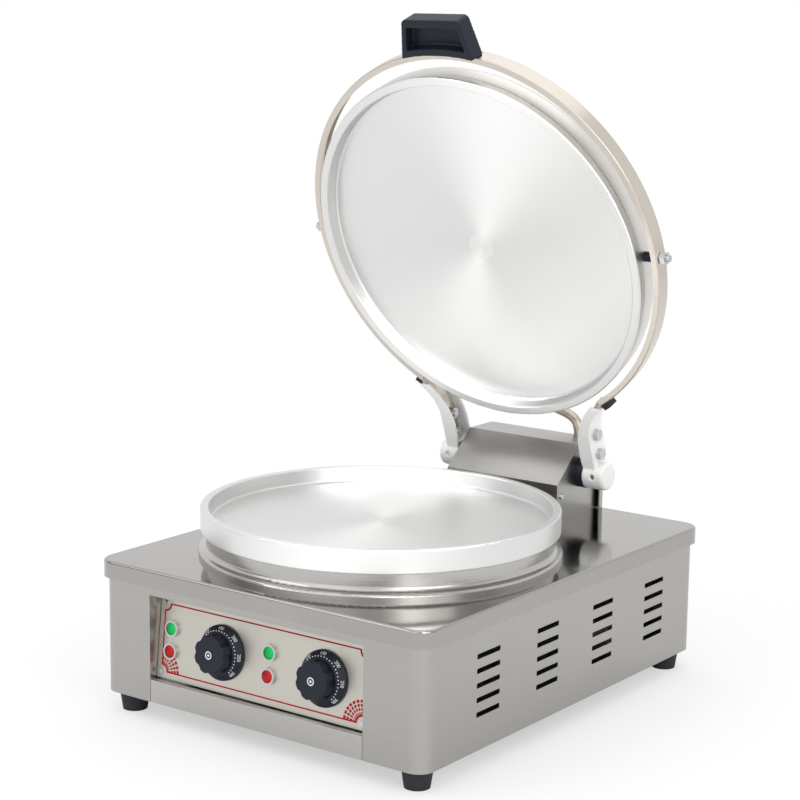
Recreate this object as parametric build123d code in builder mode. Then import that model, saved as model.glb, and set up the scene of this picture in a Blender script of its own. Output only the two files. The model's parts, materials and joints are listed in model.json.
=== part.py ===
from build123d import *
from math import atan2, cos, degrees, pi, radians, sin, sqrt
import os

os.makedirs("parts", exist_ok=True)

# Frame: X across the front, Y from the front to the back, Z up; the feet stand at Z = 0,
# and X = Y = 0 lies under the middle of the deck. The lid is drawn fully open.

# Cabinet and deck
DECK_WIDTH = 446.0
DECK_LENGTH = 558.0
DECK_TOP = 172.2
DECK_RIM_HEIGHT = 19.2
DECK_CORNER = 23.6
DECK_EDGE_ROUND = 3.0
DECK_RETURN_LIP = 4.5
SHEET = 1.5
WALL_INSET = 5.5
WALL_CORNER = 18.0
FOOT_HEIGHT = 22.6
FOOT_TOP_RADIUS = 17.0
FOOT_BOTTOM_RADIUS = 13.6
FOOT_INSET_X = 29.5
FOOT_INSET_Y = 30.0
FOOT_SCREW_RADIUS = 3.0
FOOT_SCREW_HEAD_RADIUS = 5.5
FOOT_SCREW_HEAD_HEIGHT = 3.5
FOOT_SCREW_RECESS = 9.0
FOOT_SCREW_REACH = 9.0
BOTTOM_FLANGE = 30.0
BASE_PLATE_GAP = 0.4
VENT_COLUMNS = 4
VENT_ROWS = 5
VENT_PITCH_Y = 112.2
VENT_PITCH_Z = 15.5
VENT_MIDDLE_Y = 8.2
VENT_LOWEST_Z = 61.3
VENT_LENGTH = 42.0
VENT_HEIGHT = 5.5
VENT_ROUND = 1.0

# Front opening, lower strip and control panel
OPENING_LEFT = -147.5
OPENING_RIGHT = 142.5
OPENING_TOP = 143.0
STRIP_TOP = 48.0
STRIP_LIP = 15.8
STRIP_GAP = 0.5
PANEL_LEFT = -147.0
PANEL_RIGHT = 140.5
PANEL_BOTTOM = 49.5
PANEL_TOP = 144.0
PANEL_LEAN = 6.0
PANEL_FOOT_SETBACK = 10.0
PANEL_THICKNESS = 1.2
PANEL_SCREW_INSET_X = 6.5
PANEL_SCREW_FROM_TOP = 11.5
PANEL_SCREW_FROM_BOTTOM = 7.0
PANEL_SCREW_HEAD_RADIUS = 3.2
HEAD_TAPER = 15.0
PANEL_SCREW_HEAD_HEIGHT = 2.0
PANEL_SCREW_RADIUS = 2.0
PANEL_SCREW_LENGTH = 8.0
BRACKET_WIDTH = 11.2
HOLE_CLEARANCE = 0.2

# Indicator lamps
LAMP_X = (-128.0, 9.0)
GREEN_LAMP_Z = 105.4
RED_LAMP_Z = 80.5
BEZEL_RADIUS = 9.0
BEZEL_HEIGHT = 3.6
BEZEL_FLOOR = 0.8
LENS_RADIUS = 7.0
LENS_DOME = 2.2
LAMP_BODY_RADIUS = 6.0
LAMP_BODY_LENGTH = 26.0
LAMP_NUT_RADIUS = 8.0
LAMP_NUT_THICKNESS = 3.0

# Thermostats and knobs
KNOB_X = (-56.0, 82.0)
KNOB_Z = 93.0
DIAL_RADIUS = 30.0
DIAL_EDGE = 1.8
DIAL_HEIGHT = 9.2
DIAL_STEP_RADIUS = 22.3
DIAL_GAP = 0.8
DIAL_BORE = 8.0
GRIP_RADIUS = 21.0
GRIP_TOP = 22.6
GRIP_LOBES = 8
SCALLOP_RADIUS = 7.0
SCALLOP_DEPTH = 1.8
GRIP_ROUND = 1.5
CAP_RADIUS = 5.3
CAP_HEIGHT = 0.6
SPINDLE_RADIUS = 3.0
SPINDLE_REACH = 18.0
SPINDLE_TAIL = 16.0
RUNNING_CLEARANCE = 0.05
THERMOSTAT_SIDE = 36.0
THERMOSTAT_DEPTH = 24.0
THERMOSTAT_BUSH_RADIUS = 5.0

# Lower pan, collar and heater
PAN_Y = -56.2
LOWER_RIM_TOP = 225.3
LOWER_PAN_RADIUS = 200.0
LOWER_PAN_HEIGHT = 25.8
LOWER_PAN_LIP = 9.0
LOWER_PAN_DEPTH = 17.5
PAN_WALL_DRAFT = 1.0
PAN_FLOOR_ROUND = 3.0
PAN_EDGE_ROUND = 1.5
COLLAR_NECK_RADIUS = 193.5
COLLAR_LIP_RADIUS = 202.2
COLLAR_LIP_TOP = 6.3
COLLAR_FLARE = 2.5
COLLAR_ROUND = 6.0
COLLAR_LIP_ROUND = 3.0
SEAT_GAP = 0.3
HEATER_RADIUS = 4.0
HEATER_OUTER_TURN = 150.0
HEATER_INNER_TURN = 105.0
HEATER_OPEN_ANGLE = 20.0
HEATER_LEG_END = 158.0
CLAMP_RADIUS = 172.0
CLAMP_THICKNESS = 2.0
INSULATION_RADIUS = 172.0
STUD_RADIUS = 4.0
STUD_CIRCLE = 127.5
STUD_COUNT = 4
STUD_END = 158.0
NUT_ACROSS_FLATS = 13.0
NUT_HEIGHT = 6.5
BULB_RADIUS = 3.0
BULB_LENGTH = 70.0
BULB_OFFSET = 55.0
CAPILLARY_RADIUS = 1.0
WIRING_HOLE_RADIUS = 9.0

# Hinge box
HINGE_Y = 236.5
HINGE_Z = 222.0
BOX_HALF_WIDTH = 79.0
BOX_FRONT_Y = 184.0
BOX_FRONT_TOP = 215.0
BOX_SLANT_Y = 231.0
BOX_TOP = 257.0
BOX_SIDE_BACK_Y = 270.0
BOX_STEP_Z = 218.0
COVER_SHEET = 1.2
BRACKET_PLATE = 5.0
BRACKET_FRONT_Y = 187.0
BRACKET_BACK_Y = 266.0
BRACKET_SHOULDER_Z = 212.0
BRACKET_TOP_Z = 246.0
BACK_PLATE_HALF_WIDTH = 85.0
BACK_PLATE_TOP = 217.0
BACK_PLATE_DEPTH = 7.2
BUSHING_RADIUS = 17.5
BUSHING_NECK_RADIUS = 12.0
COVER_SCREW_Y = 193.0
COVER_SCREW_Z = 200.0
COVER_SCREW_RADIUS = 2.0
COVER_SCREW_HEAD_RADIUS = 3.6
COVER_SCREW_HEAD_HEIGHT = 2.2
BRACKET_BOLT_X = 55.0
BRACKET_BOLT_Y = (204.0, 254.0)
BOLT_HEAD_HEIGHT = 5.3
BRACKET_BOLT_REACH = 14.0
SPRING_INNER_RADIUS = 10.5
SPRING_WIRE = 4.0
SPRING_START_X = 20.0
SPRING_LENGTH = 44.0
SPRING_LEG_RADIUS = 1.6

# Lid: hoop, arms, handle
OPEN_TILT = 69.5
PIVOT_REACH = 297.5
PIVOT_SETBACK = 4.0
HOOP_RADIUS = 234.7
HOOP_DEPTH = 20.0
HOOP_FRONT_FLANGE = 7.6
HOOP_REAR_FLANGE = 4.0
HOOP_END_ANGLE = 33.0
HUB_RADIUS = 17.0
HUB_INNER_X = 90.0
HUB_OUTER_X = 118.0
HUB_ROUND = 4.0
SHAFT_RADIUS = 8.0
SHAFT_END_X = 112.0
ARM_WEB_X = 103.0
ARM_WALL = 4.0
ARM_WIDTH = 18.0
ARM_FRONT = 10.5
ARM_REAR = 20.0
ARM_MOUTH_START = 20.0
ARM_TIP_X = 115.0
ARM_TIP_V = 99.0
ARM_KNEE_V = 46.0
ARM_MID_X = 96.5
ARM_MID_V = 73.5
TAIL_END = 20.3
ARM_BOLT_V = (28.0, 54.0)
ARM_BOLT_N = -4.0
ARM_BOLT_RADIUS = 4.0
SPOT_FACE_RADIUS = 8.5
GRUB_RADIUS = 3.0
GRUB_LENGTH = 7.0
PAD_LENGTH_ANGLE = 2.2
PAD_THICKNESS = 7.0
PAD_HALF_WIDTH = 8.0
HANDLE_BOTTOM_HALF = 48.0
HANDLE_TOP_HALF = 38.0
HANDLE_BOTTOM_V = 229.0
HANDLE_TOP_V = 276.0
HANDLE_FRONT_N = 20.5
HANDLE_REAR_N = -2.0
HANDLE_CORNER = 6.0
RECESS_TOP_V = 266.5
RECESS_BOTTOM_RADIUS = 242.5
RECESS_TOP_HALF = 33.5
RECESS_BOTTOM_HALF = 42.0
RECESS_DEPTH = 14.0
HANDLE_SCREW_X = 24.0
HANDLE_SCREW_RADIUS = 2.5
HANDLE_SCREW_LENGTH = 16.0
HANDLE_SCREW_HEAD_RADIUS = 4.5
HANDLE_SCREW_HEAD_HEIGHT = 2.8
HANDLE_SCREW_N = 2.2

# Upper pan, which floats between the hoop's two pivots
PAN_REST_TILT = 68.0
PIVOT_DEPTH = 22.8
UPPER_PAN_OFFSET = 3.0
UPPER_PAN_RADIUS = 216.6
UPPER_PAN_LIP = 10.4
UPPER_PAN_DEPTH = 15.5
UPPER_RIM_BAND = 11.5
UPPER_STEP_RADIUS = 213.7
UPPER_PAN_BACK = 24.0
PIVOT_BOSS_BACK = 30.0
PIVOT_BOSS_HALF = 12.0
PIVOT_BOSS_START = 188.0
UPPER_COVER_START = 12.5
UPPER_COVER_RADIUS = 215.5
UPPER_COVER_BACK = 36.5
UPPER_COVER_ROUND = 5.0
POST_CIRCLE = 178.0
POST_RADIUS = 6.0
POST_COUNT = 4
COVER_POST_SCREW_HEAD = 4.5
COVER_POST_SCREW_HEAD_HEIGHT = 2.6
COVER_POST_SCREW_LENGTH = 9.0
UPPER_INSULATION_RADIUS = 165.0
UPPER_INSULATION_FRONT = 32.3
PIVOT_BOLT_RADIUS = 4.0
PIVOT_BOLT_START = 196.0
PIVOT_BOLT_END = 245.5
PIVOT_SPACER_RADIUS = 5.75

# Conduit from the hinge box to the upper pan
CONDUIT_RADIUS = 6.0
CONDUIT_BORE = 4.8
CONDUIT_X = 45.0
CONDUIT_DOWN_Y = 285.0
ELBOW_RADIUS = 7.0
ELBOW_TOP = 250.0
ELBOW_BOTTOM = 228.0
ELBOW_NECK_Z = 236.0
ELBOW_NECK_RADIUS = 6.0
UPPER_GLAND_X = -30.0
UPPER_GLAND_FROM_CENTRE = 170.0
UPPER_GLAND_HEIGHT = 10.0

# Mains inlet
CORD_GLAND_X = 120.0
CORD_GLAND_Z = 60.0
CORD_GLAND_BORE = 4.5
CORD_GLAND_THREAD_RADIUS = 8.0
CORD_GLAND_HEX = 22.0
CORD_GLAND_REACH = 14.0
TERMINAL_BLOCK_LENGTH = 60.0
TERMINAL_BLOCK_DEPTH = 22.0
TERMINAL_BLOCK_HEIGHT = 16.0
TERMINAL_BLOCK_Y = 225.0

# Derived places
wall_half_x = DECK_WIDTH / 2 - WALL_INSET
wall_half_y = DECK_LENGTH / 2 - WALL_INSET
cabinet_top = DECK_TOP - SHEET
base_plate_bottom = FOOT_HEIGHT + SHEET
foot_x = DECK_WIDTH / 2 - FOOT_INSET_X
foot_y = DECK_LENGTH / 2 - FOOT_INSET_Y
opening_middle = (OPENING_LEFT + OPENING_RIGHT) / 2
opening_width = OPENING_RIGHT - OPENING_LEFT
lower_pan_bottom = LOWER_RIM_TOP - LOWER_PAN_HEIGHT
lower_floor_top = LOWER_RIM_TOP - LOWER_PAN_DEPTH
deck_back_y = DECK_LENGTH / 2 - SEAT_GAP

x_direction = Vector(1, 0, 0)
lean = radians(PANEL_LEAN)
panel_height = (PANEL_TOP - PANEL_BOTTOM) / cos(lean)
panel_middle_z = (PANEL_TOP + PANEL_BOTTOM) / 2
panel_foot_y = -wall_half_y + PANEL_FOOT_SETBACK
panel_middle_y = panel_foot_y + (panel_middle_z - PANEL_BOTTOM) * sin(lean) / cos(lean)
panel_middle_x = (PANEL_LEFT + PANEL_RIGHT) / 2
panel_plane = Plane(
    origin=(panel_middle_x, panel_middle_y, panel_middle_z),
    x_dir=x_direction,
    z_dir=(0, -cos(lean), sin(lean)),
)

tilt = radians(OPEN_TILT)
hinge_point = Vector(0, HINGE_Y, HINGE_Z)
lid_plane = Plane(origin=hinge_point, x_dir=x_direction, z_dir=(0, -sin(tilt), -cos(tilt)))
pivot_point = hinge_point + lid_plane.y_dir * PIVOT_REACH - lid_plane.z_dir * PIVOT_SETBACK
hoop_plane = Plane(origin=pivot_point, x_dir=x_direction, z_dir=lid_plane.z_dir)

pan_tilt = radians(PAN_REST_TILT)
pan_back = Vector(0, sin(pan_tilt), cos(pan_tilt))
pan_to_hinge = Vector(0, cos(pan_tilt), -sin(pan_tilt))
lip_centre = pivot_point - pan_back * PIVOT_DEPTH + pan_to_hinge * UPPER_PAN_OFFSET
pan_plane = Plane(origin=lip_centre, x_dir=x_direction, z_dir=pan_back)


def panel_point(x, z):
    """A place on the panel's face, given by its X and its height above the ground."""
    return (x - panel_middle_x, (z - panel_middle_z) / cos(lean))


def side_section(plane):
    """The plane through the same origin whose axes are the given plane's X and normal."""
    return Plane(origin=plane.origin, x_dir=plane.x_dir, z_dir=-plane.y_dir)


def turning_axis(plane):
    """The axis through a plane's origin along its normal."""
    return Axis(plane.origin, plane.z_dir)


def corners(builder, places):
    """The sketch corners that lie nearest to the given places."""
    return [builder.vertices().sort_by_distance(Vector(*place))[0] for place in places]


def at(plane, x, y):
    """A plane moved along its own X and Y."""
    return Plane(
        origin=plane.origin + plane.x_dir * x + plane.y_dir * y,
        x_dir=plane.x_dir,
        z_dir=plane.z_dir,
    )


def ring_points(radius, count):
    """Places spread evenly on a circle, none of them on an axis."""
    turns = [pi / count * (2 * i + 1) for i in range(count)]
    return [(radius * cos(turn), radius * sin(turn)) for turn in turns]


stud_points = ring_points(STUD_CIRCLE, STUD_COUNT)
heater_end = radians(HEATER_OPEN_ANGLE)
heater_ends = [
    (turn * cos(heater_end), -turn * sin(heater_end)) for turn in (HEATER_OUTER_TURN, HEATER_INNER_TURN)
]
pan_ground = Plane(origin=(0, PAN_Y, 0), x_dir=x_direction, z_dir=(0, 0, 1))
feet_points = [(sx * foot_x, sy * foot_y) for sx in (-1, 1) for sy in (-1, 1)]
bracket_bolt_points = [(sx * BRACKET_BOLT_X, y) for sx in (-1, 1) for y in BRACKET_BOLT_Y]
wiring_point = (0, (BRACKET_BOLT_Y[0] + BRACKET_BOLT_Y[1]) / 2)

# Deck cover
with BuildPart() as deck_cover:
    with BuildSketch(Plane.XY.offset(DECK_TOP - DECK_RIM_HEIGHT)):
        RectangleRounded(DECK_WIDTH, DECK_LENGTH, DECK_CORNER)
    extrude(amount=DECK_RIM_HEIGHT)
    fillet(deck_cover.faces().sort_by(Axis.Z)[-1].edges(), DECK_EDGE_ROUND)
    with BuildSketch(Plane.XY.offset(DECK_TOP - DECK_RIM_HEIGHT + SHEET)):
        RectangleRounded(DECK_WIDTH - 2 * SHEET, DECK_LENGTH - 2 * SHEET, DECK_CORNER - SHEET)
    extrude(amount=DECK_RIM_HEIGHT - 2 * SHEET - DECK_EDGE_ROUND, mode=Mode.SUBTRACT)
    with BuildSketch(Plane.XY.offset(DECK_TOP - DECK_EDGE_ROUND - SHEET)):
        RectangleRounded(
            DECK_WIDTH - 2 * (SHEET + DECK_EDGE_ROUND),
            DECK_LENGTH - 2 * (SHEET + DECK_EDGE_ROUND),
            DECK_CORNER - SHEET - DECK_EDGE_ROUND,
        )
    extrude(amount=DECK_EDGE_ROUND, mode=Mode.SUBTRACT)
    with BuildSketch(Plane.XY.offset(DECK_TOP - DECK_RIM_HEIGHT)):
        RectangleRounded(
            DECK_WIDTH - 2 * DECK_RETURN_LIP,
            DECK_LENGTH - 2 * DECK_RETURN_LIP,
            DECK_CORNER - DECK_RETURN_LIP,
        )
    extrude(amount=SHEET, mode=Mode.SUBTRACT)
    with BuildSketch(pan_ground.offset(DECK_TOP)):
        with Locations(*stud_points, *heater_ends):
            Circle(STUD_RADIUS + HOLE_CLEARANCE)
        Circle(WIRING_HOLE_RADIUS)
    extrude(amount=-SHEET, mode=Mode.SUBTRACT)
    with BuildSketch(Plane.XY.offset(DECK_TOP)):
        with Locations(*bracket_bolt_points):
            Circle(ARM_BOLT_RADIUS + HOLE_CLEARANCE)
        with Locations(wiring_point):
            Circle(WIRING_HOLE_RADIUS)
    extrude(amount=-SHEET, mode=Mode.SUBTRACT)
deck_cover.part.label = "deck_cover"
export_step(deck_cover.part, "parts/deck_cover.step")

# Cabinet shell with folded jambs that carry the panel
panel_back_offset = -PANEL_THICKNESS
with BuildPart() as cabinet_shell:
    with BuildSketch(Plane.XY.offset(FOOT_HEIGHT)):
        RectangleRounded(2 * wall_half_x, 2 * wall_half_y, WALL_CORNER)
    extrude(amount=cabinet_top - FOOT_HEIGHT)
    with BuildSketch(Plane.XY.offset(FOOT_HEIGHT + SHEET)):
        RectangleRounded(2 * (wall_half_x - SHEET), 2 * (wall_half_y - SHEET), WALL_CORNER - SHEET)
    extrude(amount=cabinet_top, mode=Mode.SUBTRACT)
    with BuildSketch(Plane.XY.offset(FOOT_HEIGHT)):
        Rectangle(2 * (wall_half_x - BOTTOM_FLANGE), 2 * (wall_half_y - BOTTOM_FLANGE))
        with Locations(*feet_points):
            Circle(FOOT_SCREW_RADIUS + HOLE_CLEARANCE)
    extrude(amount=SHEET, mode=Mode.SUBTRACT)
    with BuildSketch(Plane.XZ.offset(wall_half_y)):
        with Locations((opening_middle, (FOOT_HEIGHT + OPENING_TOP) / 2)):
            Rectangle(opening_width, OPENING_TOP - FOOT_HEIGHT)
    extrude(amount=-BOTTOM_FLANGE, mode=Mode.SUBTRACT)
    vent_middle_z = VENT_LOWEST_Z + VENT_PITCH_Z * (VENT_ROWS - 1) / 2
    with BuildSketch(Plane.YZ.offset(-wall_half_x - SHEET)):
        with Locations((VENT_MIDDLE_Y, vent_middle_z)):
            with GridLocations(VENT_PITCH_Y, VENT_PITCH_Z, VENT_COLUMNS, VENT_ROWS):
                RectangleRounded(VENT_LENGTH, VENT_HEIGHT, VENT_ROUND)
    extrude(amount=2 * (wall_half_x + SHEET), mode=Mode.SUBTRACT)
    with BuildSketch(Plane.XZ.offset(-wall_half_y)):
        with Locations((CORD_GLAND_X, CORD_GLAND_Z)):
            Circle(CORD_GLAND_THREAD_RADIUS + HOLE_CLEARANCE)
    extrude(amount=SHEET, mode=Mode.SUBTRACT)
    for jamb_x, turn_in in ((OPENING_LEFT, 1), (OPENING_RIGHT, -1)):
        with BuildSketch(Plane.YZ.offset(jamb_x)):
            with BuildLine():
                low_y = panel_foot_y + PANEL_THICKNESS + SHEET
                high_y = low_y + (PANEL_TOP - PANEL_BOTTOM) * sin(lean) / cos(lean)
                Polyline(
                    (-wall_half_y, STRIP_TOP),
                    (low_y, STRIP_TOP),
                    (high_y, OPENING_TOP),
                    (-wall_half_y, OPENING_TOP),
                    close=True,
                )
            make_face()
        extrude(amount=-turn_in * SHEET)
        with BuildSketch(panel_plane.offset(panel_back_offset)):
            flange_middle = jamb_x + turn_in * (BRACKET_WIDTH - SHEET) / 2 - panel_middle_x
            with Locations((flange_middle, 0)):
                Rectangle(BRACKET_WIDTH + SHEET, panel_height - 2 * SHEET)
        extrude(amount=-SHEET)
    with BuildSketch(panel_plane.offset(panel_back_offset)):
        for x in (PANEL_LEFT + PANEL_SCREW_INSET_X, PANEL_RIGHT - PANEL_SCREW_INSET_X):
            for z in (PANEL_BOTTOM + PANEL_SCREW_FROM_BOTTOM, OPENING_TOP - PANEL_SCREW_FROM_TOP):
                with Locations(panel_point(x, z)):
                    Circle(PANEL_SCREW_RADIUS + RUNNING_CLEARANCE)
    extrude(amount=-SHEET, mode=Mode.SUBTRACT)
cabinet_shell.part.label = "cabinet_shell"
export_step(cabinet_shell.part, "parts/cabinet_shell.step")

# Lower front strip
with BuildPart() as front_lower_strip:
    strip_width = opening_width - 2 * STRIP_GAP
    with BuildSketch(Plane.YZ.offset(opening_middle - strip_width / 2)):
        with BuildLine():
            Polyline(
                (-wall_half_y, FOOT_HEIGHT),
                (-wall_half_y, STRIP_TOP),
                (-wall_half_y + STRIP_LIP, STRIP_TOP),
                (-wall_half_y + STRIP_LIP, STRIP_TOP - SHEET),
                (-wall_half_y + SHEET, STRIP_TOP - SHEET),
                (-wall_half_y + SHEET, FOOT_HEIGHT + SHEET),
                (-wall_half_y + BOTTOM_FLANGE - SHEET, FOOT_HEIGHT + SHEET),
                (-wall_half_y + BOTTOM_FLANGE - SHEET, FOOT_HEIGHT),
                close=True,
            )
        make_face()
    extrude(amount=strip_width)
    top_edges = front_lower_strip.edges().filter_by(Axis.X).group_by(Axis.Y)[0]
    fillet(top_edges, SHEET / 2)
front_lower_strip.part.label = "front_lower_strip"
export_step(front_lower_strip.part, "parts/front_lower_strip.step")

# Base plate
with BuildPart() as base_plate:
    with BuildSketch(Plane.XY.offset(base_plate_bottom)):
        RectangleRounded(
            2 * (wall_half_x - SHEET - BASE_PLATE_GAP),
            2 * (wall_half_y - SHEET - BASE_PLATE_GAP),
            WALL_CORNER - SHEET - BASE_PLATE_GAP,
        )
        with Locations(*feet_points):
            Circle(FOOT_SCREW_RADIUS + RUNNING_CLEARANCE, mode=Mode.SUBTRACT)
    extrude(amount=SHEET)
base_plate.part.label = "base_plate"
export_step(base_plate.part, "parts/base_plate.step")

# Rubber feet and their screws
with BuildPart() as feet:
    with BuildSketch(Plane.XY):
        with Locations(*feet_points):
            Circle(FOOT_BOTTOM_RADIUS)
    extrude(amount=FOOT_HEIGHT, taper=-degrees(atan2(FOOT_TOP_RADIUS - FOOT_BOTTOM_RADIUS, FOOT_HEIGHT)))
    with BuildSketch(Plane.XY):
        with Locations(*feet_points):
            Circle(FOOT_SCREW_HEAD_RADIUS + HOLE_CLEARANCE)
    extrude(amount=FOOT_SCREW_RECESS, mode=Mode.SUBTRACT)
    with BuildSketch(Plane.XY):
        with Locations(*feet_points):
            Circle(FOOT_SCREW_RADIUS + RUNNING_CLEARANCE)
    extrude(amount=FOOT_HEIGHT, mode=Mode.SUBTRACT)
feet.part.label = "feet"
export_step(feet.part, "parts/feet.step")

with BuildPart() as foot_screws:
    with BuildSketch(Plane.XY.offset(FOOT_SCREW_RECESS - FOOT_SCREW_HEAD_HEIGHT)):
        with Locations(*feet_points):
            Circle(FOOT_SCREW_HEAD_RADIUS)
    extrude(amount=FOOT_SCREW_HEAD_HEIGHT)
    with BuildSketch(Plane.XY.offset(FOOT_SCREW_RECESS)):
        with Locations(*feet_points):
            Circle(FOOT_SCREW_RADIUS)
    extrude(amount=FOOT_HEIGHT - FOOT_SCREW_RECESS + FOOT_SCREW_REACH)
foot_screws.part.label = "foot_screws"
export_step(foot_screws.part, "parts/foot_screws.step")

# Control panel
lamp_places = [(x, z) for x in LAMP_X for z in (GREEN_LAMP_Z, RED_LAMP_Z)]
panel_screw_places = [
    (x, z)
    for x in (PANEL_LEFT + PANEL_SCREW_INSET_X, PANEL_RIGHT - PANEL_SCREW_INSET_X)
    for z in (PANEL_BOTTOM + PANEL_SCREW_FROM_BOTTOM, OPENING_TOP - PANEL_SCREW_FROM_TOP)
]
with BuildPart() as control_panel:
    with BuildSketch(panel_plane):
        Rectangle(PANEL_RIGHT - PANEL_LEFT, panel_height)
        with Locations(*[panel_point(x, z) for x, z in lamp_places]):
            Circle(LAMP_BODY_RADIUS + HOLE_CLEARANCE, mode=Mode.SUBTRACT)
        with Locations(*[panel_point(x, KNOB_Z) for x in KNOB_X]):
            Circle(THERMOSTAT_BUSH_RADIUS + HOLE_CLEARANCE, mode=Mode.SUBTRACT)
        with Locations(*[panel_point(x, z) for x, z in panel_screw_places]):
            Circle(PANEL_SCREW_RADIUS + HOLE_CLEARANCE, mode=Mode.SUBTRACT)
    extrude(amount=-PANEL_THICKNESS)
control_panel.part.label = "control_panel"
export_step(control_panel.part, "parts/control_panel.step")

with BuildPart() as panel_screws:
    with BuildSketch(panel_plane):
        with Locations(*[panel_point(x, z) for x, z in panel_screw_places]):
            Circle(PANEL_SCREW_HEAD_RADIUS)
    extrude(amount=PANEL_SCREW_HEAD_HEIGHT, taper=HEAD_TAPER)
    with BuildSketch(panel_plane):
        with Locations(*[panel_point(x, z) for x, z in panel_screw_places]):
            Circle(PANEL_SCREW_RADIUS)
    extrude(amount=-PANEL_SCREW_LENGTH)
panel_screws.part.label = "panel_screws"
export_step(panel_screws.part, "parts/panel_screws.step")

# Indicator lamps
with BuildPart() as lamp_bezels:
    with BuildSketch(panel_plane):
        with Locations(*[panel_point(x, z) for x, z in lamp_places]):
            Circle(BEZEL_RADIUS)
    extrude(amount=BEZEL_HEIGHT)
    with BuildSketch(panel_plane.offset(BEZEL_FLOOR)):
        with Locations(*[panel_point(x, z) for x, z in lamp_places]):
            Circle(LENS_RADIUS + RUNNING_CLEARANCE)
    extrude(amount=BEZEL_HEIGHT, mode=Mode.SUBTRACT)
lamp_bezels.part.label = "lamp_bezels"
export_step(lamp_bezels.part, "parts/lamp_bezels.step")


def lens_profile():
    """Half the outline of a domed lens beside the lamp's axis."""
    ball = (LENS_RADIUS**2 + LENS_DOME**2) / (2 * LENS_DOME)
    half_way = LENS_RADIUS / 2
    Polyline(
        (0, BEZEL_HEIGHT + LENS_DOME),
        (0, BEZEL_FLOOR),
        (LENS_RADIUS, BEZEL_FLOOR),
        (LENS_RADIUS, BEZEL_HEIGHT),
    )
    ThreePointArc(
        (LENS_RADIUS, BEZEL_HEIGHT),
        (half_way, BEZEL_HEIGHT + LENS_DOME - ball + sqrt(ball**2 - half_way**2)),
        (0, BEZEL_HEIGHT + LENS_DOME),
    )


with BuildPart() as green_lenses:
    for x in LAMP_X:
        lamp_plane = at(panel_plane, *panel_point(x, GREEN_LAMP_Z))
        with BuildSketch(side_section(lamp_plane)):
            with BuildLine():
                lens_profile()
            make_face()
        revolve(axis=turning_axis(lamp_plane))
green_lenses.part.label = "green_lenses"
export_step(green_lenses.part, "parts/green_lenses.step")

with BuildPart() as red_lenses:
    for x in LAMP_X:
        lamp_plane = at(panel_plane, *panel_point(x, RED_LAMP_Z))
        with BuildSketch(side_section(lamp_plane)):
            with BuildLine():
                lens_profile()
            make_face()
        revolve(axis=turning_axis(lamp_plane))
red_lenses.part.label = "red_lenses"
export_step(red_lenses.part, "parts/red_lenses.step")

with BuildPart() as lamp_bodies:
    with BuildSketch(panel_plane):
        with Locations(*[panel_point(x, z) for x, z in lamp_places]):
            Circle(LAMP_BODY_RADIUS)
    extrude(amount=-LAMP_BODY_LENGTH)
    with BuildSketch(panel_plane.offset(-PANEL_THICKNESS)):
        with Locations(*[panel_point(x, z) for x, z in lamp_places]):
            Circle(LAMP_NUT_RADIUS)
    extrude(amount=-LAMP_NUT_THICKNESS)
lamp_bodies.part.label = "lamp_bodies"
export_step(lamp_bodies.part, "parts/lamp_bodies.step")

# Thermostats
knob_places = [panel_point(x, KNOB_Z) for x in KNOB_X]
with BuildPart() as thermostat_bodies:
    with BuildSketch(panel_plane.offset(-PANEL_THICKNESS)):
        with Locations(*knob_places):
            RectangleRounded(THERMOSTAT_SIDE, THERMOSTAT_SIDE, THERMOSTAT_BUSH_RADIUS)
    extrude(amount=-THERMOSTAT_DEPTH)
    with BuildSketch(panel_plane.offset(-PANEL_THICKNESS)):
        with Locations(*knob_places):
            Circle(THERMOSTAT_BUSH_RADIUS)
    extrude(amount=PANEL_THICKNESS + DIAL_GAP / 2)
    with BuildSketch(panel_plane.offset(DIAL_GAP)):
        with Locations(*knob_places):
            Circle(SPINDLE_RADIUS + RUNNING_CLEARANCE)
    extrude(amount=-SPINDLE_TAIL - DIAL_GAP - SEAT_GAP, mode=Mode.SUBTRACT)
thermostat_bodies.part.label = "thermostat_bodies"
export_step(thermostat_bodies.part, "parts/thermostat_bodies.step")

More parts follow.
